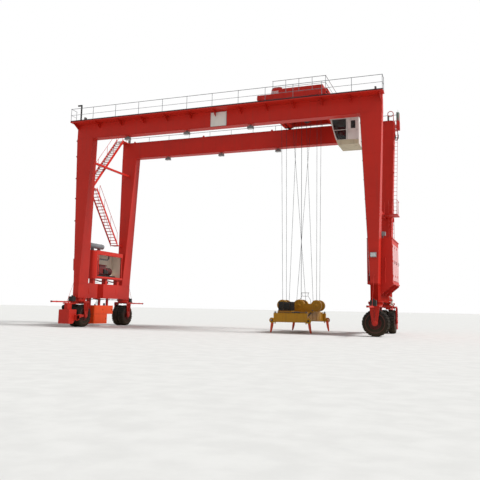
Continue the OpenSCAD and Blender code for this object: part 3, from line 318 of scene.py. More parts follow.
class Form:
    """Gathers chamfered plates, bars, pipes and turned shapes into one mesh."""

    def __init__(self):
        self.verts = []
        self.faces = []

    def add(self, verts, faces):
        start = len(self.verts)
        self.verts += [Vector(v) for v in verts]
        self.faces += [tuple(start + i for i in face) for face in faces]

    def block(self, middle, half, edge=0.004, turn=STRAIGHT):
        """A box round its middle with half its size on each axis, and all twelve edges broken."""
        edge = min(edge, min(half) * 0.45)
        self.add([Vector(middle) + turn @ Vector([s * (half[i] - edge * (i != axis)) for i, s in enumerate(signs)])
                  for signs in product(ENDS, repeat=3) for axis in range(3)], PLATE_FACES)

    def plate(self, low, high, edge=0.004, turn=STRAIGHT):
        """A box between two opposite corners, with all twelve edges broken."""
        low, high = Vector(map(min, low, high)), Vector(map(max, low, high))
        self.block((low + high) / 2, (high - low) / 2, edge, turn)

    def outline(self, points, low, high, axis):
        """An outline given thickness along an axis: its points are on the two other axes, in their order."""
        count = len(points)
        verts = []
        for level in (low, high):
            for point in points:
                point = list(point)
                point.insert(axis, level)
                verts.append(point)
        faces = [tuple(range(count)), tuple(range(2 * count - 1, count - 1, -1))]
        faces += [(i, (i + 1) % count, count + (i + 1) % count, count + i) for i in range(count)]
        self.add(verts, faces)

    def pipe(self, path, diameter, sides=10, closed=False):
        """A round bar along a path of points, mitred at its bends."""
        path = [Vector(p) for p in path]
        count = len(path)
        verts, faces, side = [], [], None
        for i in range(count):
            before = path[i] - path[i - 1] if (i or closed) else path[1] - path[0]
            after = path[(i + 1) % count] - path[i] if (i < count - 1 or closed) else before
            along = (before.normalized() + after.normalized()).normalized()
            side = side or along.orthogonal()
            side = (side - along * side.dot(along)).normalized()
            other = along.cross(side)
            stretch = min(1.0 / max(0.4, abs(before.normalized().dot(along))), 1.6)
            for k in range(sides):
                a = tau * k / sides
                verts.append(path[i] + (side * cos(a) + other * sin(a)) * diameter / 2 * stretch ** 0.5)
        for i in range(count if closed else count - 1):
            for k in range(sides):
                a, b = i * sides, ((i + 1) % count) * sides
                faces.append((a + k, a + (k + 1) % sides, b + (k + 1) % sides, b + k))
        if not closed:
            faces += [range(sides), range((count - 1) * sides, count * sides)]
        self.add(verts, faces)

    def turned(self, profile, place, axis, sides=24, ring=False):
        """A shape turned about an axis through place, from (radius, distance along it); a ring stays open inside."""
        axis = Vector(axis).normalized()
        side = axis.orthogonal().normalized()
        other = axis.cross(side)
        verts, rows, faces = [], [], []
        for radius, along in profile:
            count = sides if radius > 1e-6 else 1
            rows.append(list(range(len(verts), len(verts) + count)) * (sides // count))
            for k in range(count):
                a = tau * k / sides
                verts.append(Vector(place) + axis * along + (side * cos(a) + other * sin(a)) * radius)
        for first, last in zip(rows, rows[1:] + rows[:1] if ring else rows[1:]):
            for k in range(sides):
                n = (k + 1) % sides
                faces.append(list(dict.fromkeys((first[k], first[n], last[n], last[k]))))
        for row in (rows[0], rows[-1]):
            if len(set(row)) > 1 and not ring:
                faces.append(row)
        self.add(verts, faces)

    def disc(self, place, axis, radius, depth, sides=24):
        """A short turned boss with a broken edge, standing along the axis."""
        self.turned([(radius, 0.0), (radius, depth - 0.006), (radius - 0.006, depth)], place, axis, sides)

    def bolts(self, places, axis, size=0.03, depth=0.02):
        """Hexagon heads on washers."""
        for place in places:
            self.turned([(size * 0.95, 0), (size * 0.95, depth * 0.25)], place, axis, 12)
            self.turned([(size * 0.7, depth * 0.2), (size * 0.7, depth * 0.9), (size * 0.55, depth)], place, axis, 6)

    def build(self, name, slot="portal_paint", material=None, body="portal", smooth=35.0, shift=(0, 0, 0),
              turn=STRAIGHT):
        """Makes the piece, with its faces outward, and gives it its finish and its body."""
        mesh = bpy.data.meshes.new(name)
        mesh.from_pydata([turn @ v + Vector(shift) for v in self.verts], [], self.faces)
        work = bmesh.new()
        work.from_mesh(mesh)
        bmesh.ops.recalc_face_normals(work, faces=work.faces)
        work.to_mesh(mesh)
        work.free()
        mesh.shade_smooth()
        mesh.set_sharp_from_angle(angle=radians(smooth))
        mesh.materials.append(material or FINISH[slot])
        return mount(mesh, body)


def on_circle(centre, radius, angle, axis):
    point = [radius * cos(angle), radius * sin(angle)]
    point.insert(axis, 0.0)
    return Vector(centre) + Vector(point)


def round_places(centre, radius, count, axis=1, step=None):
    """Points round a centre, on a circle across the given axis, evenly or a given step of angle apart."""
    return [on_circle(centre, radius, (step or tau / count) * k, axis) for k in range(count)]


def arc(centre, radius, start, end, steps, axis=1):
    """Points of an arc round a centre, across the given axis, with its angles in degrees."""
    return [on_circle(centre, radius, radians(start + (end - start) * i / steps), axis) for i in range(steps + 1)]


# Repeating parts, made with Geometry Nodes

def copied(tree, points, part, material, tilt=None):
    """Ends a tree with copies of the part on the points, made real and painted."""
    copies = add_node(tree, "GeometryNodeInstanceOnPoints", {
        "Points": points.outputs["Mesh"], "Instance": part.outputs["Mesh"], "Rotation": tilt})
    whole = add_node(tree, "GeometryNodeRealizeInstances", {"Geometry": copies.outputs["Instances"]})
    paint = add_node(tree, "GeometryNodeSetMaterial", {"Geometry": whole.outputs["Geometry"], "Material": material})
    add_node(tree, "NodeGroupOutput", {"Geometry": paint.outputs["Geometry"]})
    return tree


def copies_group(name, kind, *inputs):
    """A new tree with Count and the other inputs it is given."""
    tree = bpy.data.node_groups.new(name, "GeometryNodeTree")
    sockets(tree, "OUTPUT", "Geometry", "Geometry")
    sockets(tree, "INPUT", "Int", "Count")
    sockets(tree, "INPUT", kind, *inputs)
    return tree, add_node(tree, "NodeGroupInput").outputs


def row_tree(material):
    """A row of equal bars along a line: Count, Step, Size and Tilt are its inputs."""
    tree, given = copies_group("bar_row", "Vector", "Step", "Size", "Tilt")
    line = add_node(tree, "GeometryNodeMeshLine", {"Count": given["Count"], "Offset": given["Step"]}, mode="OFFSET")
    bar = add_node(tree, "GeometryNodeMeshCube", {"Size": given["Size"]})
    return copied(tree, line, bar, material, given["Tilt"])


def ring_tree(material):
    """Hexagon bolt heads on a circle round Z: Count, Radius, Head and Depth are its inputs."""
    tree, given = copies_group("bolt_ring", "Float", "Radius", "Head", "Depth")
    circle = add_node(tree, "GeometryNodeMeshCircle", {"Vertices": given["Count"], "Radius": given["Radius"]})
    head = add_node(tree, "GeometryNodeMeshCylinder", {
        "Vertices": 6, "Radius": given["Head"], "Depth": given["Depth"]})
    return copied(tree, circle, head, material)


def grown(tree, places, values, name, body="portal"):
    """Runs a tree with the given values, and joins its plain mesh at each of the places into one piece."""
    joined = bmesh.new()
    for place in places:
        host = bpy.data.objects.new("host", bpy.data.meshes.new("host"))
        bpy.context.scene.collection.objects.link(host)
        modifier = host.modifiers.new("grow", "NODES")
        modifier.node_group = tree
        for item in tree.interface.items_tree:
            if item.in_out == "INPUT":
                modifier[item.identifier] = {"Tilt": (0.0, 0.0, 0.0), **values}[item.name]
        bpy.context.view_layer.update()
        result = bpy.data.meshes.new_from_object(host.evaluated_get(bpy.context.evaluated_depsgraph_get()))
        result.transform(Matrix.Translation(place))
        joined.from_mesh(result)
        material = result.materials[0]
        host.modifiers.remove(modifier)
        bpy.data.objects.remove(host)
        bpy.data.meshes.remove(result)
    mesh = bpy.data.meshes.new(name)
    joined.to_mesh(mesh)
    joined.free()
    mesh.materials.append(material)
    return mount(mesh, body)


STEEL_ROW = row_tree(FINISH["rail_steel"])


# Portal

def down_leg(z):
    """How far down the legs a height is: 0 under the girder, 1 on the sill."""
    return (GIRDER_BOTTOM - z) / (GIRDER_BOTTOM - SILL_TOP)


def leg_out(z):
    return HALF_SPAN - OUT_TAPER * down_leg(z)


def leg_in(z):
    return LEG_IN + IN_TAPER * down_leg(z)


def left_face(side, z):
    """Where the face of a leg that looks towards -X lies."""
    return -leg_out(z) if side < 0 else leg_in(z)


def girder_fittings():
    """Weld seams, end plates, lifting lugs and the flange splices of both girders."""
    seams, plates = Form(), Form()
    middle, half = (GIRDER_TOP + GIRDER_BOTTOM) / 2, (GIRDER_TOP - GIRDER_BOTTOM) / 2
    cap_z = 16.05
    for side, end in CORNERS:
        web = GIRDER_Y * side
        for x in (-9.6, -6.3, -3.1, 0.1, 3.3, 6.5, 9.4):
            seams.block((x, web + end * (GIRDER_W / 2 - 0.03), middle), (0.006, 0.005, half - 0.036))
        for x, level in product((-6.3, 3.3), ENDS):
            plates.block((x, web + end * (GIRDER_W / 2 - 0.015), middle + level * (half - 0.0495)),
                         (0.25, 0.013, 0.0125))
        for x in (-11.2, -4.2) if end < 0 else (2.2, 10.9):
            plates.outline([(x - 0.12, GIRDER_TOP), (x + 0.12, GIRDER_TOP), (x + 0.05, GIRDER_TOP + 0.16),
                            (x - 0.05, GIRDER_TOP + 0.16)], side * 3.275, side * 3.305, 1)
        x = end * (HALF_SPAN + 0.003)
        plates.block((x, web, middle), (0.012, 0.31, half - 0.04))
        if (end, side) != (1, 1):
            plates.turned([(0.19, 0.0), (0.19, 0.012), (0.16, 0.012), (0.16, 0.022), (0, 0.022)],
                          (x, web, cap_z), (end, 0, 0), 28)
            plates.bolts(round_places((x + end * 0.012, web, cap_z), 0.175, 12, 0, 0.524), (end, 0, 0), 0.014, 0.014)
    seams.build("girder_seams")
    plates.build("girder_plates")


def sign_plate():
    """The bare plate on the front girder, in its frame."""
    plate, trim = Form(), Form()
    back = 0.03 - HALF_DEPTH
    front = back - 0.03
    plate.plate((-0.39, front, 15.3), (0.86, back - 0.004, 16.38), 0.006)
    for x0, x1, z0, z1 in ((-0.42, 0.89, 15.27, 15.3), (-0.42, 0.89, 16.38, 16.41),
                           (-0.42, -0.39, 15.3, 16.38), (0.86, 0.89, 15.3, 16.38)):
        trim.plate((x0, front, z0), (x1, back, z1))
    trim.bolts([(x, front, z) for x in (-0.35, 0.23, 0.82) for z in (15.34, 16.34)], FRONT, 0.012, 0.01)
    plate.build("sign_plate", material=SIGN_PALE)
    trim.build("sign_frame", material=GALVANISED)


def walkway_fittings():
    """Open grating and bearers of both walkways."""
    grown(STEEL_ROW, [(-12.55, side * (HALF_DEPTH + 0.4), WALK_TOP + 0.012) for side in ENDS],
          {"Count": 252, "Step": (0.1, 0, 0), "Size": (0.012, 0.7, 0.02)}, "walkway_grating")
    form = Form()
    for side, y in product(ENDS, (0.07, 0.28, 0.5, 0.71)):
        form.block((0, side * (HALF_DEPTH + y), WALK_TOP + 0.013), (12.57, 0.006, 0.011), 0.002)
    form.build("walkway_bearers", "rail_paint", FINISH["rail_steel"])


def leg_fittings():
    """Seams and foot covers of the legs, and the conduits that run down them with their clamps."""
    seams, covers, conduits, clamps = Form(), Form(), Form(), Form()
    for sx, sy in CORNERS:
        for z in (6.4, 9.4, 12.4):
            inner, outer, y = leg_in(z), leg_out(z), HALF_DEPTH - GIRDER_W - DEPTH_TAPER * down_leg(z)
            ring = ((inner, y), (outer, y), (outer, HALF_DEPTH), (inner, HALF_DEPTH))
            seams.pipe([(sx * x, sy * y, z) for x, y in ring], 0.014, 6, closed=True)
        for z in (3.43, 3.47):
            covers.block((sx * CORNER_X, sy * CORNER_Y - 0.0025, z), (0.265, 0.6575, 0.01))
        for k in range(3):
            conduits.pipe([(left_face(sx, z) - 0.03, sy * (HALF_DEPTH - 0.17 - 0.07 * k), z)
                           for z in (15.0, 12.0, 9.0, 6.0, 4.0 + 0.2 * k)], 0.036, 8)
        for i in range(8):
            z = 14.6 - i * 1.35
            clamps.block((left_face(sx, z) - 0.03, sy * (HALF_DEPTH - 0.24), z), (0.028, 0.15, 0.02))
    for z in (16.21, 15.14, 13.81, 11.97, 10.3, 8.46):
        clamps.block((-min(leg_out(z), HALF_SPAN) - 0.04, -3.82, z), (0.05, 0.06, 0.05), 0.01)
    seams.build("leg_seams")
    covers.build("leg_covers")
    conduits.build("leg_conduits", "rail_paint", GALVANISED)
    clamps.build("conduit_clamps", "box_black")


def stair_treads():
    """Deep treads of the upper stair, which close it to the eye from below."""
    grown(row_tree(TREAD_PAINT), [(-12.15, -1.9855, 11.836)],
          {"Count": 19, "Step": (0, 0.22895, 0.26537), "Size": (0.674, 0.28, 0.042)}, "upper_treads")


def sill_fittings():
    """Flanges and bolts of the slewing rings, hoses under the sills, their brackets, the side covers and a thin plate
    of painted shade on the left sill.
    """
    flanges, hoses, brackets, shade_plate = Form(), Form(), Form(), Form()
    feet = [Vector((sx * CORNER_X, sy * CORNER_Y, SILL_BOTTOM)) for sx, sy in CORNERS]
    for foot in feet:
        flanges.turned([(0.448, 0), (0.5, 0), (0.5, 0.035), (0.448, 0.035)], foot - Vector((0, 0, 0.036)), UP, 48)
        for a in range(12):
            turn = Matrix.Rotation(a * tau / 12, 3, "Z")
            flanges.block(foot + turn @ Vector((0.475, 0, -0.0925)), (0.03, 0.007, 0.0625), 0.002, turn)
    flanges.build("slewing_flanges")
    grown(ring_tree(BRIGHT_STEEL), [foot - Vector((0, 0, 0.03)) for foot in feet],
          {"Count": 24, "Radius": 0.475, "Head": 0.017, "Depth": 0.03}, "slewing_bolts")
    for sx in ENDS:
        for k in range(3):
            x = sx * 11.55 + 0.07 * k
            hoses.pipe([(x, -2.6 + 0.4 * i, 2.23 - 0.02 * (i % 2) - 0.01 * k) for i in range(14)], 0.034, 8)
        for y in (-2.55, -1.0, 0.6, 2.55):
            brackets.block((sx * 11.52, y, 2.18), (0.14, 0.02, 0.01))
            for end in ENDS:
                brackets.block((sx * 11.52 + end * 0.1325, y, 2.2415), (0.0075, 0.02, 0.0615))
        for y in (-2.2, 1.9):
            brackets.block((sx * 11.449, y, 2.87), (0.012, 0.3, 0.25), 0.006)
            brackets.bolts([(sx * 11.437, y + dy, z) for dy in (-0.26, 0, 0.26) for z in (2.66, 3.08)],
                           (-sx, 0, 0), 0.014, 0.012)
    # a thin plate on the left sill's inner face, painted very dark as painted shade
    shade_plate.plate((-11.43, -1.19, 2.31), (-11.421, -0.41, 3.49), 0.002)
    shade_plate.build("sill_shade_band", material=SHADE_BAND_RED)
    hoses.build("sill_hoses", "box_black", HOSE_BLACK)
    brackets.build("sill_brackets")


# Engine room, silencer and hydraulic unit

def generating_set():
    """Engine, alternator, radiator and pipes that show through the open side of the engine room."""
    block, dark, bright = Form(), Form(), Form()
    dark.plate((-0.3, -1.3, 0), (0.3, 1.9, 0.16), 0.02)
    block.plate((-0.24, -0.65, 0.18), (0.24, 0.55, 0.85), 0.05)
    block.outline([(-0.6, 0.84), (0.5, 0.84), (0.42, 1.06), (-0.52, 1.06)], -0.16, 0.16, 0)
    for i in range(6):
        y = -0.5 + i * 0.19
        block.disc((0.22, y, 0.95), (0.5, 0, 1), 0.05, 0.08, 12)
        bright.pipe([(0.2, y, 1.0), (0.33, y, 0.92), (0.34, y, 0.7)], 0.022, 6)
    block.turned([(0.3, 0), (0.33, 0.03), (0.33, 0.75), (0.28, 0.82), (0.1, 0.84), (0.1, 0.9)],
                 (0, 0.55, 0.5), REAR, 32)
    for i in range(7):
        dark.turned([(0.335, 0), (0.345, 0.012), (0.345, 0.03), (0.335, 0.042)], (0, 0.66 + i * 0.09, 0.5), REAR, 32)
    dark.plate((-0.3, -1.02, 0.18), (0.3, -0.86, 1.3), 0.02)
    for i in range(16):
        dark.block((0.3035, -0.94, 0.269 + i * 0.062), (0.0085, 0.07, 0.009), 0.002)
    bright.pipe(arc((0.16, -0.4, 1.28), 0.22, 180, 90, 8, 0)
                + [(0.16, 0.7, 1.5), (0.16, 0.9, 1.62), (0.16, 0.95, 1.9)], 0.11, 14)
    for y, r, top in ((0.15, 0.14, 0.42), (0.5, 0.12, 0.34)):
        dark.turned([(r - 0.02, 0), (r, 0.02), (r, top - 0.04), (r - 0.02, top), (0, top)], (0.28, y, 0.25), UP, 20)
    dark.pipe([(0.3, -0.85, 0.4), (0.36, -0.6, 0.3), (0.36, 0.0, 0.24), (0.3, 0.2, 0.3)], 0.05, 8)
    floor = (-12.05, 0, 4.12)
    block.build("engine_block", "unit_orange", DARK_RED, shift=floor)
    dark.build("radiator_and_filters", "box_black", shift=floor)
    bright.build("exhaust_pipe", "silencer_grey", shift=floor)


def engine_room_fittings():
    """Ribs and louvres on the panels, roof edge, corner posts and the pipes under the floor."""
    ribs, trim, pipes = Form(), Form(), Form()
    for y in (-1.2, -0.65, -0.1, 0.45, 1.0, 1.55):
        ribs.block((-12.3815, y, 5.16), (0.0095, 0.012, 1.0), 0.003)
    for z in (4.5, 5.1, 5.7):
        ribs.block((-12.3795, 0.325, z), (0.0115, 1.925, 0.01), 0.003)
    for y, i in product((-1.0, 0.1, 1.2), range(10)):
        z = 4.55 + i * 0.09
        ribs.outline([(-12.464, z), (-12.449, z), (-12.449, z + 0.05), (-12.456, z + 0.05)], y - 0.3, y + 0.3, 1)
    ribs.build("engine_panel_ribs", "panel_tan")
    trim.plate((-12.45, -1.66, 6.249), (-11.36, 2.35, 6.272))
    for y in (-1.42, 2.22):
        trim.block((-11.36, y, 5.065), (0.015, 0.05, 0.865), 0.006)
    trim.bolts([(-11.352, 0.6 * i - 1.2, 6.09) for i in range(6)], RIGHT, 0.018, 0.014)
    trim.build("engine_room_trim")
    for k, (x, z) in enumerate(((-11.62, 3.72), (-11.54, 3.8), (-11.7, 3.66))):
        pipes.pipe([(x, -1.5 + i * 0.32, z + 0.05 * sin(i * 1.1 + k * 2)) for i in range(11)], 0.06 - 0.01 * k)
    pipes.turned([(0.1, 0), (0.13, 0.03), (0.13, 0.42), (0.1, 0.45)], (-11.75, 0.2, 3.66), REAR, 20)
    pipes.build("floor_pipes", material=DARK_RED)


def silencer_fittings():
    """Bands and end domes of the silencer."""
    form = Form()
    for y in (-2.2, -1.45, -0.7):
        form.turned([(0.211, 0), (0.222, 0.008), (0.222, 0.052), (0.211, 0.06)], (0, y, 0), REAR, 40)
    form.turned([(0.205, 0), (0.19, 0.03), (0.12, 0.055), (0.06, 0.06), (0, 0.06)], (0, -0.452, 0), REAR, 36)
    form.turned([(0.205, 0), (0.19, 0.03), (0.12, 0.055), (0, 0.06)], (0, -2.448, 0), FRONT, 36)
    form.build("silencer_bands", "silencer_grey", shift=(-CORNER_X, 0, 6.63))


def hydraulic_fittings():
    """Lids, doors, valves and hoses of the hydraulic unit."""
    form, dark = Form(), Form()
    for y0, y1, z0, z1 in ((-1.62, -0.35, 1.06, 1.66), (-0.28, 1.02, 1.06, 1.66), (-1.62, 0.15, 0.28, 0.94)):
        for side in ENDS:
            form.plate((side * 0.345, y0, z0), (side * 0.366, y1, z1), 0.008)
        dark.block((0.379, y1 - 0.12, (z0 + z1) / 2 + 0.01), (0.013, 0.02, 0.05), 0.006)
    form.plate((-0.36, -1.69, 1.7), (0.36, 1.11, 1.722), 0.006)
    dark.turned([(0.05, 0), (0.06, 0.01), (0.06, 0.07), (0.035, 0.09), (0, 0.09)], (-0.15, -0.9, 1.72), UP, 16)
    dark.turned([(0.09, 0), (0.09, 0.16), (0.07, 0.19), (0, 0.19)], (0.1, 0.1, 1.72), UP, 20)
    for k in range(4):
        y = -1.3 + 0.16 * k
        dark.pipe([(0.1, y, 1.71), (0.12, y, 1.85), (0.2, y + 0.1, 2.0), (0.22, y + 0.2, 2.2)], 0.03, 8)
    form.build("unit_lids", "unit_orange", shift=(-CORNER_X, 0, 0))
    dark.build("unit_valves", "box_black", HOSE_BLACK, shift=(-CORNER_X, 0, 0))


# Right side

def house_fittings():
    """Door handles, hinges, lifting eyes, back seams and cables of the electrical house."""
    red, steel = Form(), Form()
    face = 12.7853
    for i in range(3):
        hinge_y = -2.45 + i * 1.18
        lock_y = hinge_y + 0.975
        for z in (4.0, 5.0, 6.0):
            red.turned([(0.018, 0), (0.018, 0.14)], (face + 0.004, hinge_y, z), UP, 10)
        steel.block((face + 0.006, lock_y, 5.05), (0.006, 0.035, 0.13))
        steel.pipe([(face + x, lock_y, z) for x, z in ((0.012, 5.14), (0.045, 5.12), (0.045, 4.98), (0.012, 4.96))],
                   0.018, 8)
    for y, x in product((-2.5, 1.18), (11.2, 12.6)):
        red.turned([(0.05, 0), (0.05, 0.012), (0.02, 0.012), (0.02, 0.05)], (x, y, 6.66), UP, 14)
        red.pipe(arc((x, y, 6.745), 0.04, 0, 350, 12), 0.018, 6)
    red.plate((11.05, -2.58, 3.61), (11.075, 1.24, 6.59))
    for y in (-1.6, -0.6, 0.4):
        red.block((11.051, y, 5.1), (0.011, 0.012, 1.45), 0.003)
    for k in range(5):
        steel.pipe([(11.3 + 0.08 * k, 1.2, 3.498), (11.3 + 0.08 * k, 1.2, 3.3), (11.35 + 0.05 * k, 1.4, 3.1),
                    (11.4 + 0.03 * k, 1.9, 2.6), (11.42, 2.3, 2.2)], 0.035, 8)
    red.build("house_trim")
    steel.build("house_ironwork", "rail_paint", GALVANISED)


def recess_detail():
    """Slotted recess with its slots drawn as black blocks of painted shade, pipe and the white hose ends by the lower
    edge of the right side.
    """
    dark, pale, red = Form(), Form(), Form()
    # black blocks: painted shade in the slots of the recess
    for k in range(5):
        dark.block((11.19 + k * 0.17, -2.6175, 3.975), (0.04, 0.0175, 0.275), 0.01)
    for z in (3.65, 4.31):
        red.block((11.55, -2.625, z), (0.47, 0.015, 0.03), 0.006)
    red.pipe([(12.3, -2.63, 5.3), (12.31, -2.63, 4.7), (12.24, -2.63, 4.2), (12.25, -2.6, 3.6)], 0.07)
    for k in range(3):
        y = 1.7 + 0.22 * k
        pale.pipe([(11.97, y, 2.75 - 0.1 * k), (12.12, y + 0.02, 2.7), (12.2, y + 0.05, 2.5), (12.1, y + 0.12, 2.25),
                   (11.98, y + 0.2, 2.15 + 0.05 * k)], 0.045)
        pale.pipe([(11.97, y + 0.1, 2.4), (12.14, y + 0.1, 2.36), (12.22, y + 0.16, 2.18), (12.12, y + 0.3, 2.08),
                   (11.96, y + 0.34, 2.2)], 0.04)
    dark.build("house_slot_shade", "box_black")
    red.build("house_pipe")
    pale.build("steering_hoses", "box_black", HOSE_WHITE)


def terminal_fittings():
    """Hose loops, can, aerial and bolts of the cable terminal."""
    hoses, metal, can = Form(), Form(), Form()
    for k in range(3):
        y, reach = 3.43 + 0.12 * k, 0.34 - 0.07 * k
        loop = [(12.56 + reach * 0.5 * cos(a), y, 15.8 - reach + reach * sin(a))
                for a in (0.7, 0.2, -0.4, -1.0, -1.6, -2.2)]
        hoses.pipe([(12.64, y, 16.0), (12.66, y, 15.86), *loop, (12.45, y, 15.72)], 0.05)
    can.turned([(0.1315, 0), (0.1315, 0.62), (0.1, 0.7), (0.05, 0.735), (0, 0.74)],
               (12.7085, GIRDER_Y, 16.76), UP, 36)
    can.build("terminal_can", "lamp_grey", GREY_GREEN)
    metal.turned([(0.012, 0), (0.008, 0.24), (0.012, 0.25), (0, 0.26)], (12.71, GIRDER_Y, 17.44), UP, 10)
    metal.bolts([(12.46, y, z) for y in (3.38, 3.72) for z in (15.5, 15.85, 16.3, 16.6)], RIGHT, 0.02, 0.016)
    hoses.build("terminal_hoses", "box_black", HOSE_BLACK)
    metal.build("terminal_rings", "lamp_grey")


def lamp_fittings():
    """Glass, cooling fins and yokes of the floodlights, and of the lamp on the front right leg."""
    glass, fins = Form(), Form()
    z = GIRDER_BOTTOM - 0.3
    for side, x in product(ENDS, (-7.8, -2.55, 2.7)):
        y = side * GIRDER_Y
        glass.block((x, y, z - 0.005), (0.2, 0.13, 0.007), 0.005)
        for i in range(9):
            fins.block((x - 0.18 + i * 0.045, y, z + 0.195), (0.004, 0.12, 0.025), 0.002)
        for end in ENDS:
            fins.block((x + end * 0.238, y, z + 0.135), (end * 0.006, 0.02, 0.085), 0.003)
        fins.block((x, y, z + 0.216), (0.244, 0.02, 0.006), 0.003)
    glass.block((CORNER_X, -4.224, 5.36), (0.17, 0.008, 0.11), 0.006)
    for i in range(7):
        fins.block((11.554 + i * 0.05, -4.015, 5.39), (0.004, 0.015, 0.13), 0.002)
    glass.build("lamp_glass", "lamp_grey", LENS)
    fins.build("lamp_fins", "lamp_grey")


def arm_fittings():
    """Fixings, end buffers and scanner windows on the anti-collision arms."""
    dark, red = Form(), Form()
    for sx, sy in CORNERS:
        x = sx * CORNER_X
        dark.block((x, sy * 4.3, 2.195), (0.205, 0.06, 0.055), 0.01)
        dark.turned([(0.06, 0), (0.07, 0.01), (0.07, 0.07), (0.05, 0.09), (0, 0.09)], (x, sy * 4.3, 2.38), UP, 20)
        dark.block((x, sy * 6.849, 1.95), (0.07, 0.049, 0.065), 0.02)
        red.bolts([(x + dx, sy * 4.102, z) for dx in (-0.09, 0.09) for z in (1.95, 2.08, 2.2, 2.36)],
                  (0, sy, 0), 0.02, 0.016)
        for y in (5.215, 6.215):
            red.block((x, sy * y, 1.95), (0.06, 0.015, 0.06))
        red.turned([(0.03, 0), (0.03, 0.05), (0.016, 0.12)], (x, sy * 4.95, 1.97), (0, -sy * 0.44, 0.9), 12)
        red.turned([(0.03, 0), (0.03, 0.06), (0, 0.06)], (x, sy * 3.92, 4.05), (0, sy * 0.44, -0.9), 12)
    dark.build("scanner_windows", "box_black")
    red.build("arm_fixings")


# Corners

HEADINGS = {"front_left": -90, "rear_left": 90, "front_right": 0, "rear_right": 90}
DRIVEN = ("front_left", "rear_right")


def corner_seat(name, body):
    """The body of a corner's piece, with the place and the turn that the corner has at rest."""
    sx = -1 if name.endswith("left") else 1
    sy = -1 if name.startswith("front") else 1
    return {"body": body + name, "shift": (sx * CORNER_X, sy * CORNER_Y, 0),
            "turn": Matrix.Rotation(radians(HEADINGS[name]), 3, "Z")}


def fork_fittings(name):
    """Bolts, ribs, hub covers and grease lines of one fork, and its drive where it has one."""
    red, steel = Form(), Form()
    for side in ENDS:
        out = (0, side, 0)
        red.turned([(0.17, 0), (0.17, 0.03), (0.14, 0.045), (0.1, 0.045), (0.09, 0.06), (0, 0.06)],
                   (0, side * 0.65, AXLE_Z), out, 32)
        steel.bolts(round_places((0, side * 0.686, AXLE_Z), 0.135, 8), out, 0.016, 0.016)
        for end in ENDS:
            red.outline([(end * x, z) for x, z in ((0.06, 1.25), (0.075, 1.25), (0.16, 1.9), (0.145, 1.9))],
                        side * 0.652, side * 0.7, 1)
            red.outline([(end * x, z) for x, z in ((0.335, 1.94), (0.3, 1.94), (0.16, 0.95), (0.195, 0.95))],
                        side * 0.59, side * 0.668, 1)
        red.plate((-0.31, side * 0.655, 1.88), (0.31, side * 0.69, 1.905))
        steel.pipe([(0.0, side * 0.72, AXLE_Z + 0.1), (0.02, side * 0.71, 1.3), (-0.02, side * 0.71, 1.7),
                    (0.0, side * 0.66, 2.045)], 0.014, 6)
    for y in (-0.5, -0.25, 0.25, 0.5):
        red.block((0, y, 1.921), (0.3, 0.01, 0.021), 0.003)
    steel.bolts(round_places((0, 0, 1.938), 0.4, 20, 2), DOWN, 0.018, 0.02)
    if name in DRIVEN:
        drive_fittings(red, steel)
    red.build("fork_ribs_" + name, **corner_seat(name, "corner_"))
    steel.build("fork_bolts_" + name, "rail_steel", GREASE, **corner_seat(name, "corner_"))


def drive_fittings(red, steel):
    """Covers, chain guard, motor with its fins and cables of one drive."""
    red.plate((1.02, -0.43, 0.72), (1.052, 0.43, 1.3), 0.01)
    red.plate((1.1, -0.44, 1.345), (1.95, 0.44, 1.368), 0.006)
    for i, side in product(range(5), ENDS):
        red.block((1.14 + i * 0.19, side * 0.483, 1.01), (0.01, 0.007, 0.29), 0.003)
    steel.turned([(0.17, 0), (0.19, 0.01), (0.19, 0.3), (0.17, 0.33), (0.08, 0.36), (0, 0.36)],
                 (1.5, -0.15, 1.52), FRONT, 28)
    for i in range(11):
        steel.turned([(0.19, 0), (0.205, 0.002), (0.205, 0.01), (0.19, 0.012)],
                     (1.5, -0.19 - i * 0.024, 1.52), FRONT, 28)
    steel.plate((1.42, -0.35, 1.69), (1.58, -0.22, 1.76), 0.01)
    for k in range(3):
        steel.pipe([(1.5, -0.26 - 0.03 * k, 1.74), (1.35, -0.3, 1.8 + 0.01 * k), (0.9, -0.34 - 0.03 * k, 1.92),
                    (0.4, -0.3, 1.96), (0.2, -0.2 - 0.03 * k, 2.0)], 0.026, 8)
    red.outline([(0.45, 0.82), (0.95, 0.74), (1.35, 0.5), (1.35, 0.95), (0.95, 1.02), (0.45, 0.96)], 0.715, 0.76, 1)
    red.plate((1.02, 0.46, 0.55), (1.35, 0.76, 0.95), 0.02)


def mirrored(profile):
    """A turned profile followed by its mirror image, on the far side of its middle."""
    return profile + [(radius, -along) for radius, along in reversed(profile)]


def tread(tyres, centre):
    """Leaning lugs round a tyre, with a rib beside each on both shoulders."""
    lugs = 26
    for k, side in product(range(lugs), ENDS):
        a = tau * k / lugs
        out, along = Vector((sin(a), 0, cos(a))), Vector((cos(a), 0, -sin(a)))
        lean = 0.035 if k % 2 else -0.035
        lug = (((0.835, 0.056, 0.012, -lean), (0.835, 0.056, 0.222, lean))[::side]
               + ((0.89, 0.044, 0.012, -lean), (0.862, 0.044, 0.222, lean))[::side])
        tyres.add([centre + out * reach + along * (shift + end * half) + Vector((0, side * y, 0))
                   for reach, half, y, shift in lug for end in ENDS], BLOCK_FACES)
        tyres.add([centre + out * reach + along * shift + Vector((0, side * y, 0))
                   for reach in (0.755, 0.85) for shift in (-0.036, 0.036) for y in (0.202, 0.244)], BLOCK_FACES)


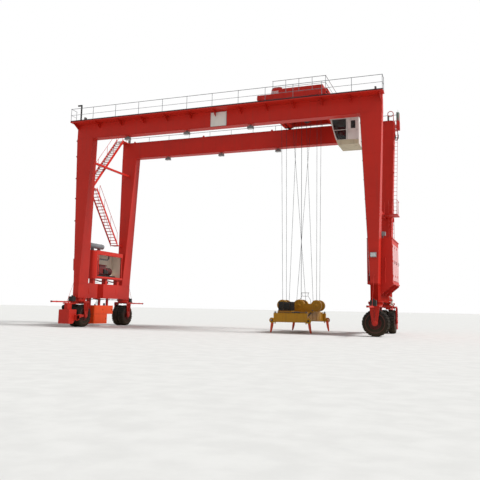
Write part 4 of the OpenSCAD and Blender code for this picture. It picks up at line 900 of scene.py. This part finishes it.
def wheel_pieces(name):
    """Two treaded tyres on dished rims with their nuts, and a brown bead on each sidewall: dust with a painted
    highlight.
    """
    tyres, rims, nuts, beads = Form(), Form(), Form(), Form()
    for middle in (-0.29, 0.29):
        centre = Vector((0, middle, AXLE_Z))
        tyres.turned(mirrored([(0.402, -0.2), (0.43, -0.22), (0.455, -0.216), (0.56, -0.248), (0.7, -0.25),
                               (0.79, -0.236), (0.825, -0.215), (0.838, -0.19), (0.842, -0.1)]),
                     centre, REAR, 72, ring=True)
        tread(tyres, centre)
        for side in ENDS:
            out = Vector((0, side, 0))
            beads.turned([(0.6, -0.012), (0.67, -0.012), (0.655, 0.01), (0.615, 0.01)],
                         centre + out * 0.25, out, 64, ring=True)
            rims.turned([(0.425, -0.01), (0.425, 0.012), (0.398, 0.02), (0.385, -0.02), (0.36, -0.09), (0.19, -0.12),
                         (0.19, -0.13), (0.38, -0.11), (0.4, -0.02)], centre + out * 0.195, out, 48, ring=True)
            nuts.bolts(round_places(centre + out * 0.085, 0.28, 12), out, 0.024, 0.035)
    rims.turned(mirrored([(0.181, -0.575), (0.2, -0.56), (0.2, -0.3), (0.26, -0.28), (0.26, -0.14), (0.4, -0.12)]),
                (0, 0, AXLE_Z), REAR, 48)
    seat = corner_seat(name, "wheelset_")
    tyre = tyres.build("tyres_" + name, "tyre_rubber", smooth=40, **seat)
    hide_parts("wheels_" + name)
    rims.build("rims_" + name, material=RIM_RED, **seat)
    beads.build("tyre_beads_" + name, "tyre_rubber", BEAD_DUST_AND_HIGHLIGHT, **seat)
    nuts.build("wheel_nuts_" + name, "rail_steel", GREASE, **seat)


# Trolley

def trolley_fittings():
    """Deck grating, hoist drum, motors, sheaves, wheel caps and lamps of the trolley."""
    grown(STEEL_ROW, [(3.32, y, 17.422) for y in (-2.85, 2.85)],
          {"Count": 64, "Step": (0.08, 0, 0), "Size": (0.012, 0.44, 0.02)}, "deck_grating", "trolley")
    wheel_z, sheave_z, motor_z, drum_z, lamp_z = 17.1, 17.14, 17.2, 17.02, 17.06
    red, dark, steel, lamps, glass = Form(), Form(), Form(), Form(), Form()
    for side in ENDS:
        out = (0, side, 0)
        for x in (3.7, 8.00):
            red.turned([(0.13, 0), (0.13, 0.03), (0.1, 0.05), (0, 0.05)], (x, side * 3.73, wheel_z), out, 28)
            steel.bolts(round_places((x, side * 3.76, wheel_z), 0.11, 6, step=1.047), out, 0.014, 0.014)
        for x in (4.6, 5.4, 6.2, 7.0):
            red.block((x, side * 3.7365, 17.225), (0.01, 0.0085, 0.175), 0.003)
        for x, end in ((3.26, -1), (8.44, 1)):
            dark.turned([(0.07, 0), (0.09, 0.01), (0.09, 0.05), (0.06, 0.07), (0, 0.07)],
                        (x, side * 3.55, 17.22), (end, 0, 0), 20)
    # the grooved drum has two halves, with their gearbox between them
    groove = [(0.27 + 0.012 * (i % 2), 0.05 + 0.035 * i) for i in range(1, 40)]
    for y in (-1.75, 0.25):
        steel.turned([(0.3, 0), (0.36, 0.01), (0.36, 0.04), (0.28, 0.05), *groove,
                      (0.28, 1.45), (0.36, 1.46), (0.36, 1.49), (0.3, 1.5)], (HOIST_X, y, drum_z), REAR, 32)
    dark.plate((5.25, -0.22, 16.92), (6.25, 0.22, 17.38), 0.03)
    for x, y in product((4.18, 6.58), (-1.9, 1.9)):
        dark.turned([(0.15, 0), (0.17, 0.02), (0.17, 0.5), (0.14, 0.54), (0, 0.54)], (x, y, motor_z), RIGHT, 24)
        for i in range(9):
            dark.turned([(0.17, 0), (0.185, 0.002), (0.185, 0.012), (0.17, 0.014)],
                        (x + 0.07 + i * 0.05, y, motor_z), RIGHT, 24)
    for x, y in product((4.25, 7.1), (-0.7, 0.7)):
        steel.turned(mirrored([(0.1, -0.05), (0.22, -0.05), (0.24, -0.035), (0.19, -0.01)]), (x, y, sheave_z), REAR, 32)
        steel.turned([(0.035, -0.11), (0.035, 0.11)], (x, y, sheave_z), REAR, 14)
        for side in ENDS:
            red.outline([(x - 0.16, 17.392), (x + 0.16, 17.392), (x + 0.06, 17.06), (x - 0.06, 17.06)],
                        y + side * 0.07, y + side * 0.09, 1)
    for y in (-2.6, -2.4, 2.4, 2.6):
        dark.pipe([(3.5, y, 17.36), (5.0, y, 17.33), (6.5, y, 17.36), (8.0, y, 17.34)], 0.045, 8)
    for x, y in ((7.68, -1.7), (7.68, 1.7), (3.6, -1.7)):
        lamps.turned([(0.1, 0), (0.15, 0.05), (0.17, 0.14), (0.17, 0.18), (0.15, 0.18)], (x, y, lamp_z), DOWN, 28)
        lamps.pipe([(x, y, lamp_z), (x, y, 17.39)], 0.05)
        glass.disc((x, y, 16.875), DOWN, 0.15, 0.02, 28)
    red.build("trolley_plates", body="trolley")
    dark.build("trolley_drives", "box_black", body="trolley")
    steel.build("trolley_sheaves", "rail_steel", body="trolley")
    lamps.build("trolley_lamps", "lamp_grey", body="trolley")
    glass.build("trolley_lamp_glass", "lamp_grey", LENS, "trolley")


def cover_fittings():
    """Roof strips, seams, side panels, louvres and lifting eyes of the machinery cover."""
    red, dark = Form(), Form()
    wall, roof = 2.3, 18.311
    dark.plate((4.85, -0.55, roof), (5.43, 0.55, roof + 0.024), 0.006)
    dark.plate((6.58, -0.55, roof), (7.85, 0.55, roof + 0.024), 0.006)
    for side in ENDS:
        for x in (5.1, 5.9, 6.7, 7.5):
            red.block((x, side * (wall + 0.006), 17.84), (0.012, 0.006, 0.38), 0.003)
        red.plate((3.86, side * wall, 17.42), (8.3, side * (wall + 0.018), 17.47), 0.005)
        red.plate((5.55, side * wall, 17.62), (6.35, side * (wall + 0.018), 18.16), 0.006)
    for x, y in product((5.72, 6.28), (-1.5, -0.5, 0.5, 1.5)):
        red.block((x, y, 18.389), (0.05, 0.02, 0.011))
    for x, y in product((5.15, 7.3), (-1.7, 1.7)):
        red.pipe(arc((x, y, 18.346), 0.05, -30, 210, 10), 0.02, 8)
    grown(row_tree(FINISH["box_black"]), [(4.2, side * (wall + 0.005), 17.7) for side in ENDS],
          {"Count": 8, "Step": (0, 0, 0.065), "Size": (0.55, 0.012, 0.045), "Tilt": (0.4, 0, 0)},
          "cover_louvres", body="trolley")
    red.build("cover_ribs", body="trolley")
    dark.build("cover_roof_strips", "box_black", body="trolley")


# Operator's cab, drawn from its middle

CAB_SEAT = {"body": "trolley", "shift": (0, -0.5, 0)}


def cab_fittings():
    """Window frames, seals, the lower skirt, roof rim, lamps, handles and wiper of the cab."""
    white, seal, steel, skirt = Form(), Form(), Form(), Form()
    for side in ENDS:
        near, far = side * 0.946, side * 0.962
        for ring in (((8.42, 15.72), (9.45, 15.72), (9.45, 14.96), (8.57, 14.96)),
                     ((8.59, 14.88), (9.45, 14.88), (9.45, 14.2), (8.81, 14.2), (8.73, 14.42))):
            seal.pipe([(x, side * 0.954, z) for x, z in ring], 0.034, 8, closed=True)
        white.plate((9.49, near, 13.86), (9.51, far, 15.76), 0.003)
        white.plate((8.7, near, 14.905), (9.47, far, 14.935), 0.003)
        skirt.outline([(8.86, 13.795), (10.39, 13.795), (10.39, 14.1), (9.5, 14.15), (8.73, 14.15)],
                      near, side * 0.982, 1)
        seal.pipe([(8.235, side * 0.28, 15.74), (8.62, side * 0.28, 14.42)], 0.036, 8)
        steel.turned([(0.03, 0), (0.07, 0.03), (0.085, 0.09), (0.07, 0.1)],
                     (8.6, side * 0.7, 15.99), (-0.6, 0, -0.8), 20)
        steel.pipe([(8.6, side * 0.7, 15.99), (8.66, side * 0.7, 15.845)], 0.03, 8)
    for x, z in ((8.262, 15.74), (8.478, 14.93), (8.615, 14.42)):
        seal.pipe([(x, -0.82, z), (x, 0.82, z)], 0.04, 8)
    seal.pipe([(8.24, 0, 15.7), (8.4, -0.22, 15.15)], 0.02, 8)
    seal.pipe([(8.385, -0.3, 15.42), (8.46, -0.12, 14.95)], 0.03, 6)
    seal.plate((9.7, -0.45, 15.846), (10.15, 0.45, 16.02), 0.02)
    white.plate((8.23, -0.97, 15.8), (10.42, 0.97, 15.845), 0.012)
    for x in (8.75, 9.35, 9.95):
        white.block((x, 0, 15.851), (0.02, 0.93, 0.011))
    skirt.plate((8.86, -0.946, 13.778), (10.39, 0.946, 13.792))
    # door frame, hinges and handles
    for x0, x1, z0, z1 in ((9.6, 9.62, 13.94, 15.72), (10.24, 10.26, 13.94, 15.72), (9.6, 10.26, 15.7, 15.72),
                           (9.6, 10.26, 13.94, 13.96), (9.66, 10.2, 14.78, 14.8)):
        white.plate((x0, -0.962, z0), (x1, -0.946, z1), 0.003)
    for z in (14.1, 14.8, 15.5):
        steel.turned([(0.016, 0), (0.016, 0.1)], (10.275, -0.955, z), UP, 10)
    for x, out, top, foot, thick in ((9.68, -0.99, 14.98, 14.64, 0.022), (9.56, -1.03, 15.5, 14.18, 0.026)):
        steel.pipe([(x, -0.947, top), (x, out, top - 0.02), (x, out, foot + 0.02), (x, -0.947, foot)], thick, 8)
    white.build("cab_frames", "cab_cream", **CAB_SEAT)
    skirt.build("cab_skirt", "cab_cream", SKIRT_BEIGE, **CAB_SEAT)
    seal.build("window_seals", "basket_black", **CAB_SEAT)
    steel.build("cab_ironwork", "rail_paint", GALVANISED, **CAB_SEAT)


def cab_inside():
    """Chair, consoles, sticks, screen and floor of the cab."""
    dark, cushion, back, screen = Form(), Form(), Form(), Form()
    dark.plate((9.05, -0.62, 14.0), (9.75, 0.62, 14.02))
    dark.turned([(0.2, 0), (0.2, 0.03), (0.07, 0.06), (0.07, 0.28)], (9.45, 0, 14.01), UP, 20)
    for side in ENDS:
        dark.plate((9.0, side * 0.33, 14.28), (9.6, side * 0.56, 14.56), 0.03)
        dark.plate((9.04, side * 0.35, 14.55), (9.4, side * 0.54, 14.58), 0.01)
        dark.turned([(0.03, 0), (0.015, 0.05), (0.015, 0.12), (0.03, 0.15), (0, 0.18)],
                    (9.16, side * 0.445, 14.575), (-0.1, 0, 1), 14)
    lean = Matrix.Rotation(0.14, 3, "Y")
    cushion.plate((9.2, -0.26, 14.3), (9.72, 0.26, 14.43), 0.05)
    back.plate((9.64, -0.25, 14.4), (9.78, 0.25, 15.08), 0.05, lean)
    back.plate((9.74, -0.15, 15.06), (9.85, 0.15, 15.26), 0.04, lean)
    screen.plate((8.72, 0.42, 14.85), (8.76, 0.72, 15.08), 0.008)
    screen.pipe([(8.76, 0.57, 14.95), (8.85, 0.62, 14.9), (8.85, 0.9, 14.88)], 0.03, 8)
    dark.build("cab_consoles", "box_black", **CAB_SEAT)
    for form, name in ((cushion, "seat_cushion"), (back, "seat_back")):
        piece = form.build(name, "basket_black", SEAT_CLOTH, **CAB_SEAT)
    screen.build("cab_screen", "box_black", LENS, **CAB_SEAT)


# Hoist, drawn from the middle of the spreader

HOIST_SEAT = {"body": "hoisted_frame", "shift": (HOIST_X, 0, 0)}
ROPE_TOP = 17.3887
# where each rope starts along X, where it ends, on which side, and how high its end is
ROPES = ((-1.45, -1.3, -1, 2.391), (-1.45, -1.3, 1, 2.391), (1.4, 1.3, -1, 2.391), (1.4, 1.3, 1, 2.391),
         (-0.15, -0.8, -1, 2.12), (0.65, -0.5, 1, 2.12), (-0.65, 0.5, -1, 2.12), (0.15, 0.8, 1, 2.12))


def strand(form, start, end, diameter, lays=40, sides=8):
    """A rope whose section turns slowly along its run, with a lobed outline."""
    start, end = Vector(start), Vector(end)
    along = (end - start).normalized()
    side = along.orthogonal().normalized()
    other = along.cross(side)
    verts, faces = [], [range(sides), range(lays * sides, (lays + 1) * sides)]
    for i in range(lays + 1):
        for k in range(sides):
            a = tau * k / sides + i * tau / 16
            r = diameter / 2 * (1.0 if k % 2 else 0.84)
            verts.append(start.lerp(end, i / lays) + (side * cos(a) + other * sin(a)) * r)
    for i, k in product(range(lays), range(sides)):
        n = (k + 1) % sides
        faces.append((i * sides + k, i * sides + n, (i + 1) * sides + n, (i + 1) * sides + k))
    form.add(verts, faces)


def rope_falls():
    """Stranded hoist ropes and the feed cable, taut from the trolley to the headblock."""
    form = Form()
    for top, low, side, foot in ROPES:
        strand(form, (HOIST_X + top, side * 0.7, ROPE_TOP), (HOIST_X + low, side * 0.5, foot), 0.028)
    form.pipe([(HOIST_X, 0, ROPE_TOP), (HOIST_X, 0, 2.02)], 0.034)
    piece = form.build("hoist_rope_falls", "rope_steel", body="trolley")
    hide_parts("hoist_ropes")
    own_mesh(piece)


def headblock_fittings():
    """Sheave caps, pins, ribs, locks, the cable guide and its frame on the headblock."""
    ochre, steel, black, guide = Form(), Form(), Form(), Form()
    pin_z = 1.991
    for side in ENDS:
        out = (0, side, 0)
        for x, r in ((-1.3, 0.4), (0.0, 0.43), (1.3, 0.4)):
            centre = (x, side * 0.63, pin_z)
            ochre.turned([(r - 0.04, 0), (r - 0.05, 0.012), (r - 0.12, 0.012), (r - 0.13, 0.004)], centre, out, 44)
            ochre.turned([(0.115, 0), (0.115, 0.02), (0.09, 0.035), (0.05, 0.04), (0, 0.04)], centre, out, 28)
            steel.bolts(round_places(centre, 0.19, 8), out, 0.016, 0.018)
            steel.turned([(0.1, 0), (0.1, 0.02), (0.07, 0.03), (0, 0.03)], (x, side * 0.37, pin_z), (0, -side, 0), 24)
        for x in (-0.65, 0.65):
            ochre.block((x, side * 0.636, 1.79), (0.2, 0.006, 0.15), 0.005)
        ochre.block((side * 0.9, 0, 2.0275), (0.12, 0.36, 0.0075))
        for y in (-0.2, 0.2):
            ochre.block((side * 0.9, y, 1.82), (0.16, 0.01, 0.16), 0.003)
        guide.pipe([(0.3 + side * x, 0, z) for x, z in ((0.43, 2.03), (0.43, 2.38), (0.22, 2.72), (0.26, 2.93))],
                   0.036, 8)
    black.turned([(0.06, 0), (0.1, 0.02), (0.1, 0.1), (0.06, 0.14), (0.05, 0.3), (0.03, 0.34)],
                 (0, 0, 2.03), UP, 20)
    for reach in round_places((0, 0, 0), 0.15, 6, 2):
        black.pipe([reach * share + Vector((0, 0, z)) for share, z in ((0.4, 2.12), (1.0, 2.3), (1.3, 2.42))], 0.02, 6)
    for sx, sy in CORNERS:
        steel.turned([(0.05, 0), (0.06, 0.01), (0.06, 0.09), (0.035, 0.12), (0, 0.12)], (sx * 1.12, sy, 1.56), UP, 16)
        ochre.block((sx * 1.12, sy, 1.574), (0.09, 0.09, 0.016), 0.006)
    guide.pipe([(-0.02, 0, 2.93), (0.62, 0, 2.93)], 0.04, 8)
    guide.pipe([(0.1, 0, 2.68), (0.5, 0, 2.68)], 0.03, 8)
    guide.build("guide_frame", "rail_paint", GALVANISED, **HOIST_SEAT)
    ochre.build("headblock_plates", "spreader_ochre", **HOIST_SEAT)
    steel.build("headblock_pins", "rail_steel", **HOIST_SEAT)
    black.build("cable_guide", "basket_black", **HOIST_SEAT)
    grown(ring_tree(FINISH["spreader_ochre"]), [(HOIST_X + x, 0, 2.036) for x in (-0.9, 0.9)],
          {"Count": 8, "Radius": 0.09, "Head": 0.014, "Depth": 0.02}, "headblock_bolts",
          "hoisted_frame")


def basket_fittings():
    """Slats, rims and coiled cable of the cable basket."""
    black, coil = Form(), Form()
    half = 0.475
    for z in (1.62, 1.78, 1.94, 2.1, 2.215):
        black.pipe([(-half, -half, z), (half, -half, z), (half, half, z), (-half, half, z)], 0.024, 6, closed=True)
    for i, side in product(range(9), ENDS):
        t = (half - 0.03) * (i / 4 - 1)
        black.block((t, side * half, 1.91), (0.014, 0.006, 0.31), 0.002)
        black.block((side * half, t, 1.91), (0.006, 0.014, 0.31), 0.002)
    path = []
    for i in range(140):
        a, r = i * tau / 20, 0.3 + 0.05 * sin(i * 0.37)
        path.append((r * cos(a), r * sin(a), 1.66 + i * 0.0034))
    coil.pipe(path, 0.045, 8)
    seat = {"body": "hoisted_frame", "shift": (5.025, -1.625, 0)}
    black.build("basket_slats", "basket_black", **seat)
    coil.build("basket_cable", "rope_steel", HOSE_BLACK, **seat)


def spreader_fittings():
    """Stiffeners, covers, bolts, hoses and telescope drives on the spreader's middle frame."""
    ochre, black, steel = Form(), Form(), Form()
    for sx in ENDS:
        for y in (-2.3, -1.5, -0.6, 0.6, 1.5, 2.3):
            ochre.block((sx * 1.028, y, 1.16), (0.008, 0.012, 0.3), 0.003)
        for z in (0.874, 1.444):
            ochre.block((sx * 1.03, 0, z), (0.01, 2.66, 0.014))
        for sy in ENDS:
            ochre.block((sx * 0.6, sy * 1.93, 1.486), (0.4, 0.73, 0.008))
            steel.turned([(0.05, 0), (0.05, 1.2), (0.035, 1.21), (0.035, 1.28)],
                         (sx * 0.1, sy * 1.3, 1.2), (0, sy, 0), 16)
        steel.bolts([(sx * 1.038, y, z) for y in (-2.2, -1.7, 1.7, 2.2) for z in (0.95, 1.37)],
                    (sx, 0, 0), 0.018, 0.016)
        for k in range(3):
            black.pipe([(sx * 1.05, -1.3 + 0.2 * k, 1.5), (sx * 1.1, -1.6, 1.44 - 0.05 * k),
                        (sx * 1.09, -2.1, 1.32 - 0.05 * k), (sx * 1.06, -2.5, 1.3 - 0.04 * k)], 0.032, 8)
    ochre.build("spreader_ribs", "spreader_ochre", **HOIST_SEAT)
    black.build("spreader_hoses", "basket_black", HOSE_BLACK, **HOIST_SEAT)
    steel.build("spreader_steel", "rail_steel", **HOIST_SEAT)


def end_fittings(name, sy):
    """Ribs, corner plates, locks with their levers and rods, and flipper drums on an end beam."""
    ochre, steel, drums = Form(), Form(), Form()
    out = (0, sy, 0)
    for x in (-1.0, -0.5, 0.0, 0.5, 1.0):
        ochre.block((x, sy * 3.037, 1.1), (0.01, 0.007, 0.3), 0.003)
    for z in (0.801, 1.401):
        ochre.block((0, sy * 3.037, z), (1.2, 0.007, 0.011), 0.003)
    for sx in ENDS:
        x, y = sx * 1.1295, sy * 2.9265
        ochre.block((x, y, 0.779), (0.088, 0.1, 0.011), 0.006)
        steel.turned([(0.055, 0), (0.055, 0.06), (0.03, 0.09), (0.03, 0.14), (0, 0.14)], (x, y, 1.42), UP, 20)
        steel.block((x - sx * 0.02, y, 1.4825), (0.12, 0.02, 0.0125))
        drum = (sx * 1.33, sy * 2.985, 0.9)
        drums.turned([(0.1, 0), (0.19, 0), (0.19, 0.09), (0.17, 0.11), (0.1, 0.11)], drum, out, 32, ring=True)
        steel.turned([(0.05, 0), (0.05, 0.09), (0.03, 0.11), (0, 0.11)], drum, out, 20)
    steel.pipe([(-1.12, sy * 2.93, 1.48), (1.12, sy * 2.93, 1.48)], 0.03, 8)
    steel.turned([(0.05, 0), (0.05, 0.5), (0.03, 0.51), (0.03, 0.6)], (0.1, sy * 2.85, 1.48), RIGHT, 16)
    seat = {"body": "end_" + name, "shift": (HOIST_X, 0, 0)}
    ochre.build("end_ribs_" + name, "spreader_ochre", **seat)
    drums.build("flipper_drums_" + name, "spreader_ochre", **seat)
    steel.build("end_locks_" + name, "rail_steel", **seat)


for fit in (girder_fittings, sign_plate, walkway_fittings, leg_fittings, stair_treads, sill_fittings,
            generating_set, engine_room_fittings, silencer_fittings, hydraulic_fittings, house_fittings,
            recess_detail, terminal_fittings, lamp_fittings, arm_fittings):
    fit()
for corner in HEADINGS:
    fork_fittings(corner)
    wheel_pieces(corner)
for fit in (trolley_fittings, cover_fittings, cab_fittings, cab_inside, rope_falls, headblock_fittings,
            basket_fittings, spreader_fittings):
    fit()
end_fittings("front", -1)
end_fittings("rear", 1)


# Studio

def studio():
    """A pale floor to the horizon, a white surround and soft light from the right."""
    form = Form()
    form.outline([(-600, -600), (600, -600), (600, 600), (-600, 600)], -0.5, 0.0, 2)
    mesh = bpy.data.meshes.new("floor")
    mesh.from_pydata(form.verts, [], form.faces)
    floor = bpy.data.objects.new("floor", mesh)
    bpy.context.scene.collection.objects.link(floor)
    material = bpy.data.materials.new("floor_pale")
    material.use_nodes = True
    tree = material.node_tree
    grain = ramp(tree, noise_node(tree, object_place(tree), 1.5, 6.0), 0.3, 0.7)
    feed(tree, tree.nodes["Principled BSDF"], {
        "Base Color": mix_colour(tree, grain, tone(0.84, 0.84, 0.83), tone(0.87, 0.87, 0.86)), "Roughness": 0.9})
    mesh.materials.append(material)

    world = bpy.data.worlds.new("soft_surround")
    bpy.context.scene.world = world
    world.use_nodes = True
    tree = world.node_tree
    rays = add_node(tree, "ShaderNodeLightPath").outputs
    seen = math_node(tree, "MAXIMUM", rays["Is Camera Ray"], rays["Is Glossy Ray"])
    seen = math_node(tree, "MAXIMUM", seen, rays["Is Transmission Ray"])
    feed(tree, tree.nodes["Background"], {
        "Color": (1, 1, 1, 1), "Strength": math_node(tree, "ADD", math_node(tree, "MULTIPLY", seen, 0.68), 0.32)})

    for name, aim, strength, spread in (
        ("key_light", (-0.66, 0.03, -0.75), 3.5, 14.0),
        ("front_fill", (0.1, 0.9, -0.35), 0.08, 60.0),
    ):
        data = bpy.data.lights.new(name, "SUN")
        data.energy = strength
        data.angle = radians(spread)
        lamp = bpy.data.objects.new(name, data)
        lamp.rotation_euler = Vector(aim).to_track_quat("-Z", "Y").to_euler()
        bpy.context.scene.collection.objects.link(lamp)
    bpy.context.scene.view_settings.view_transform = "Standard"


studio()
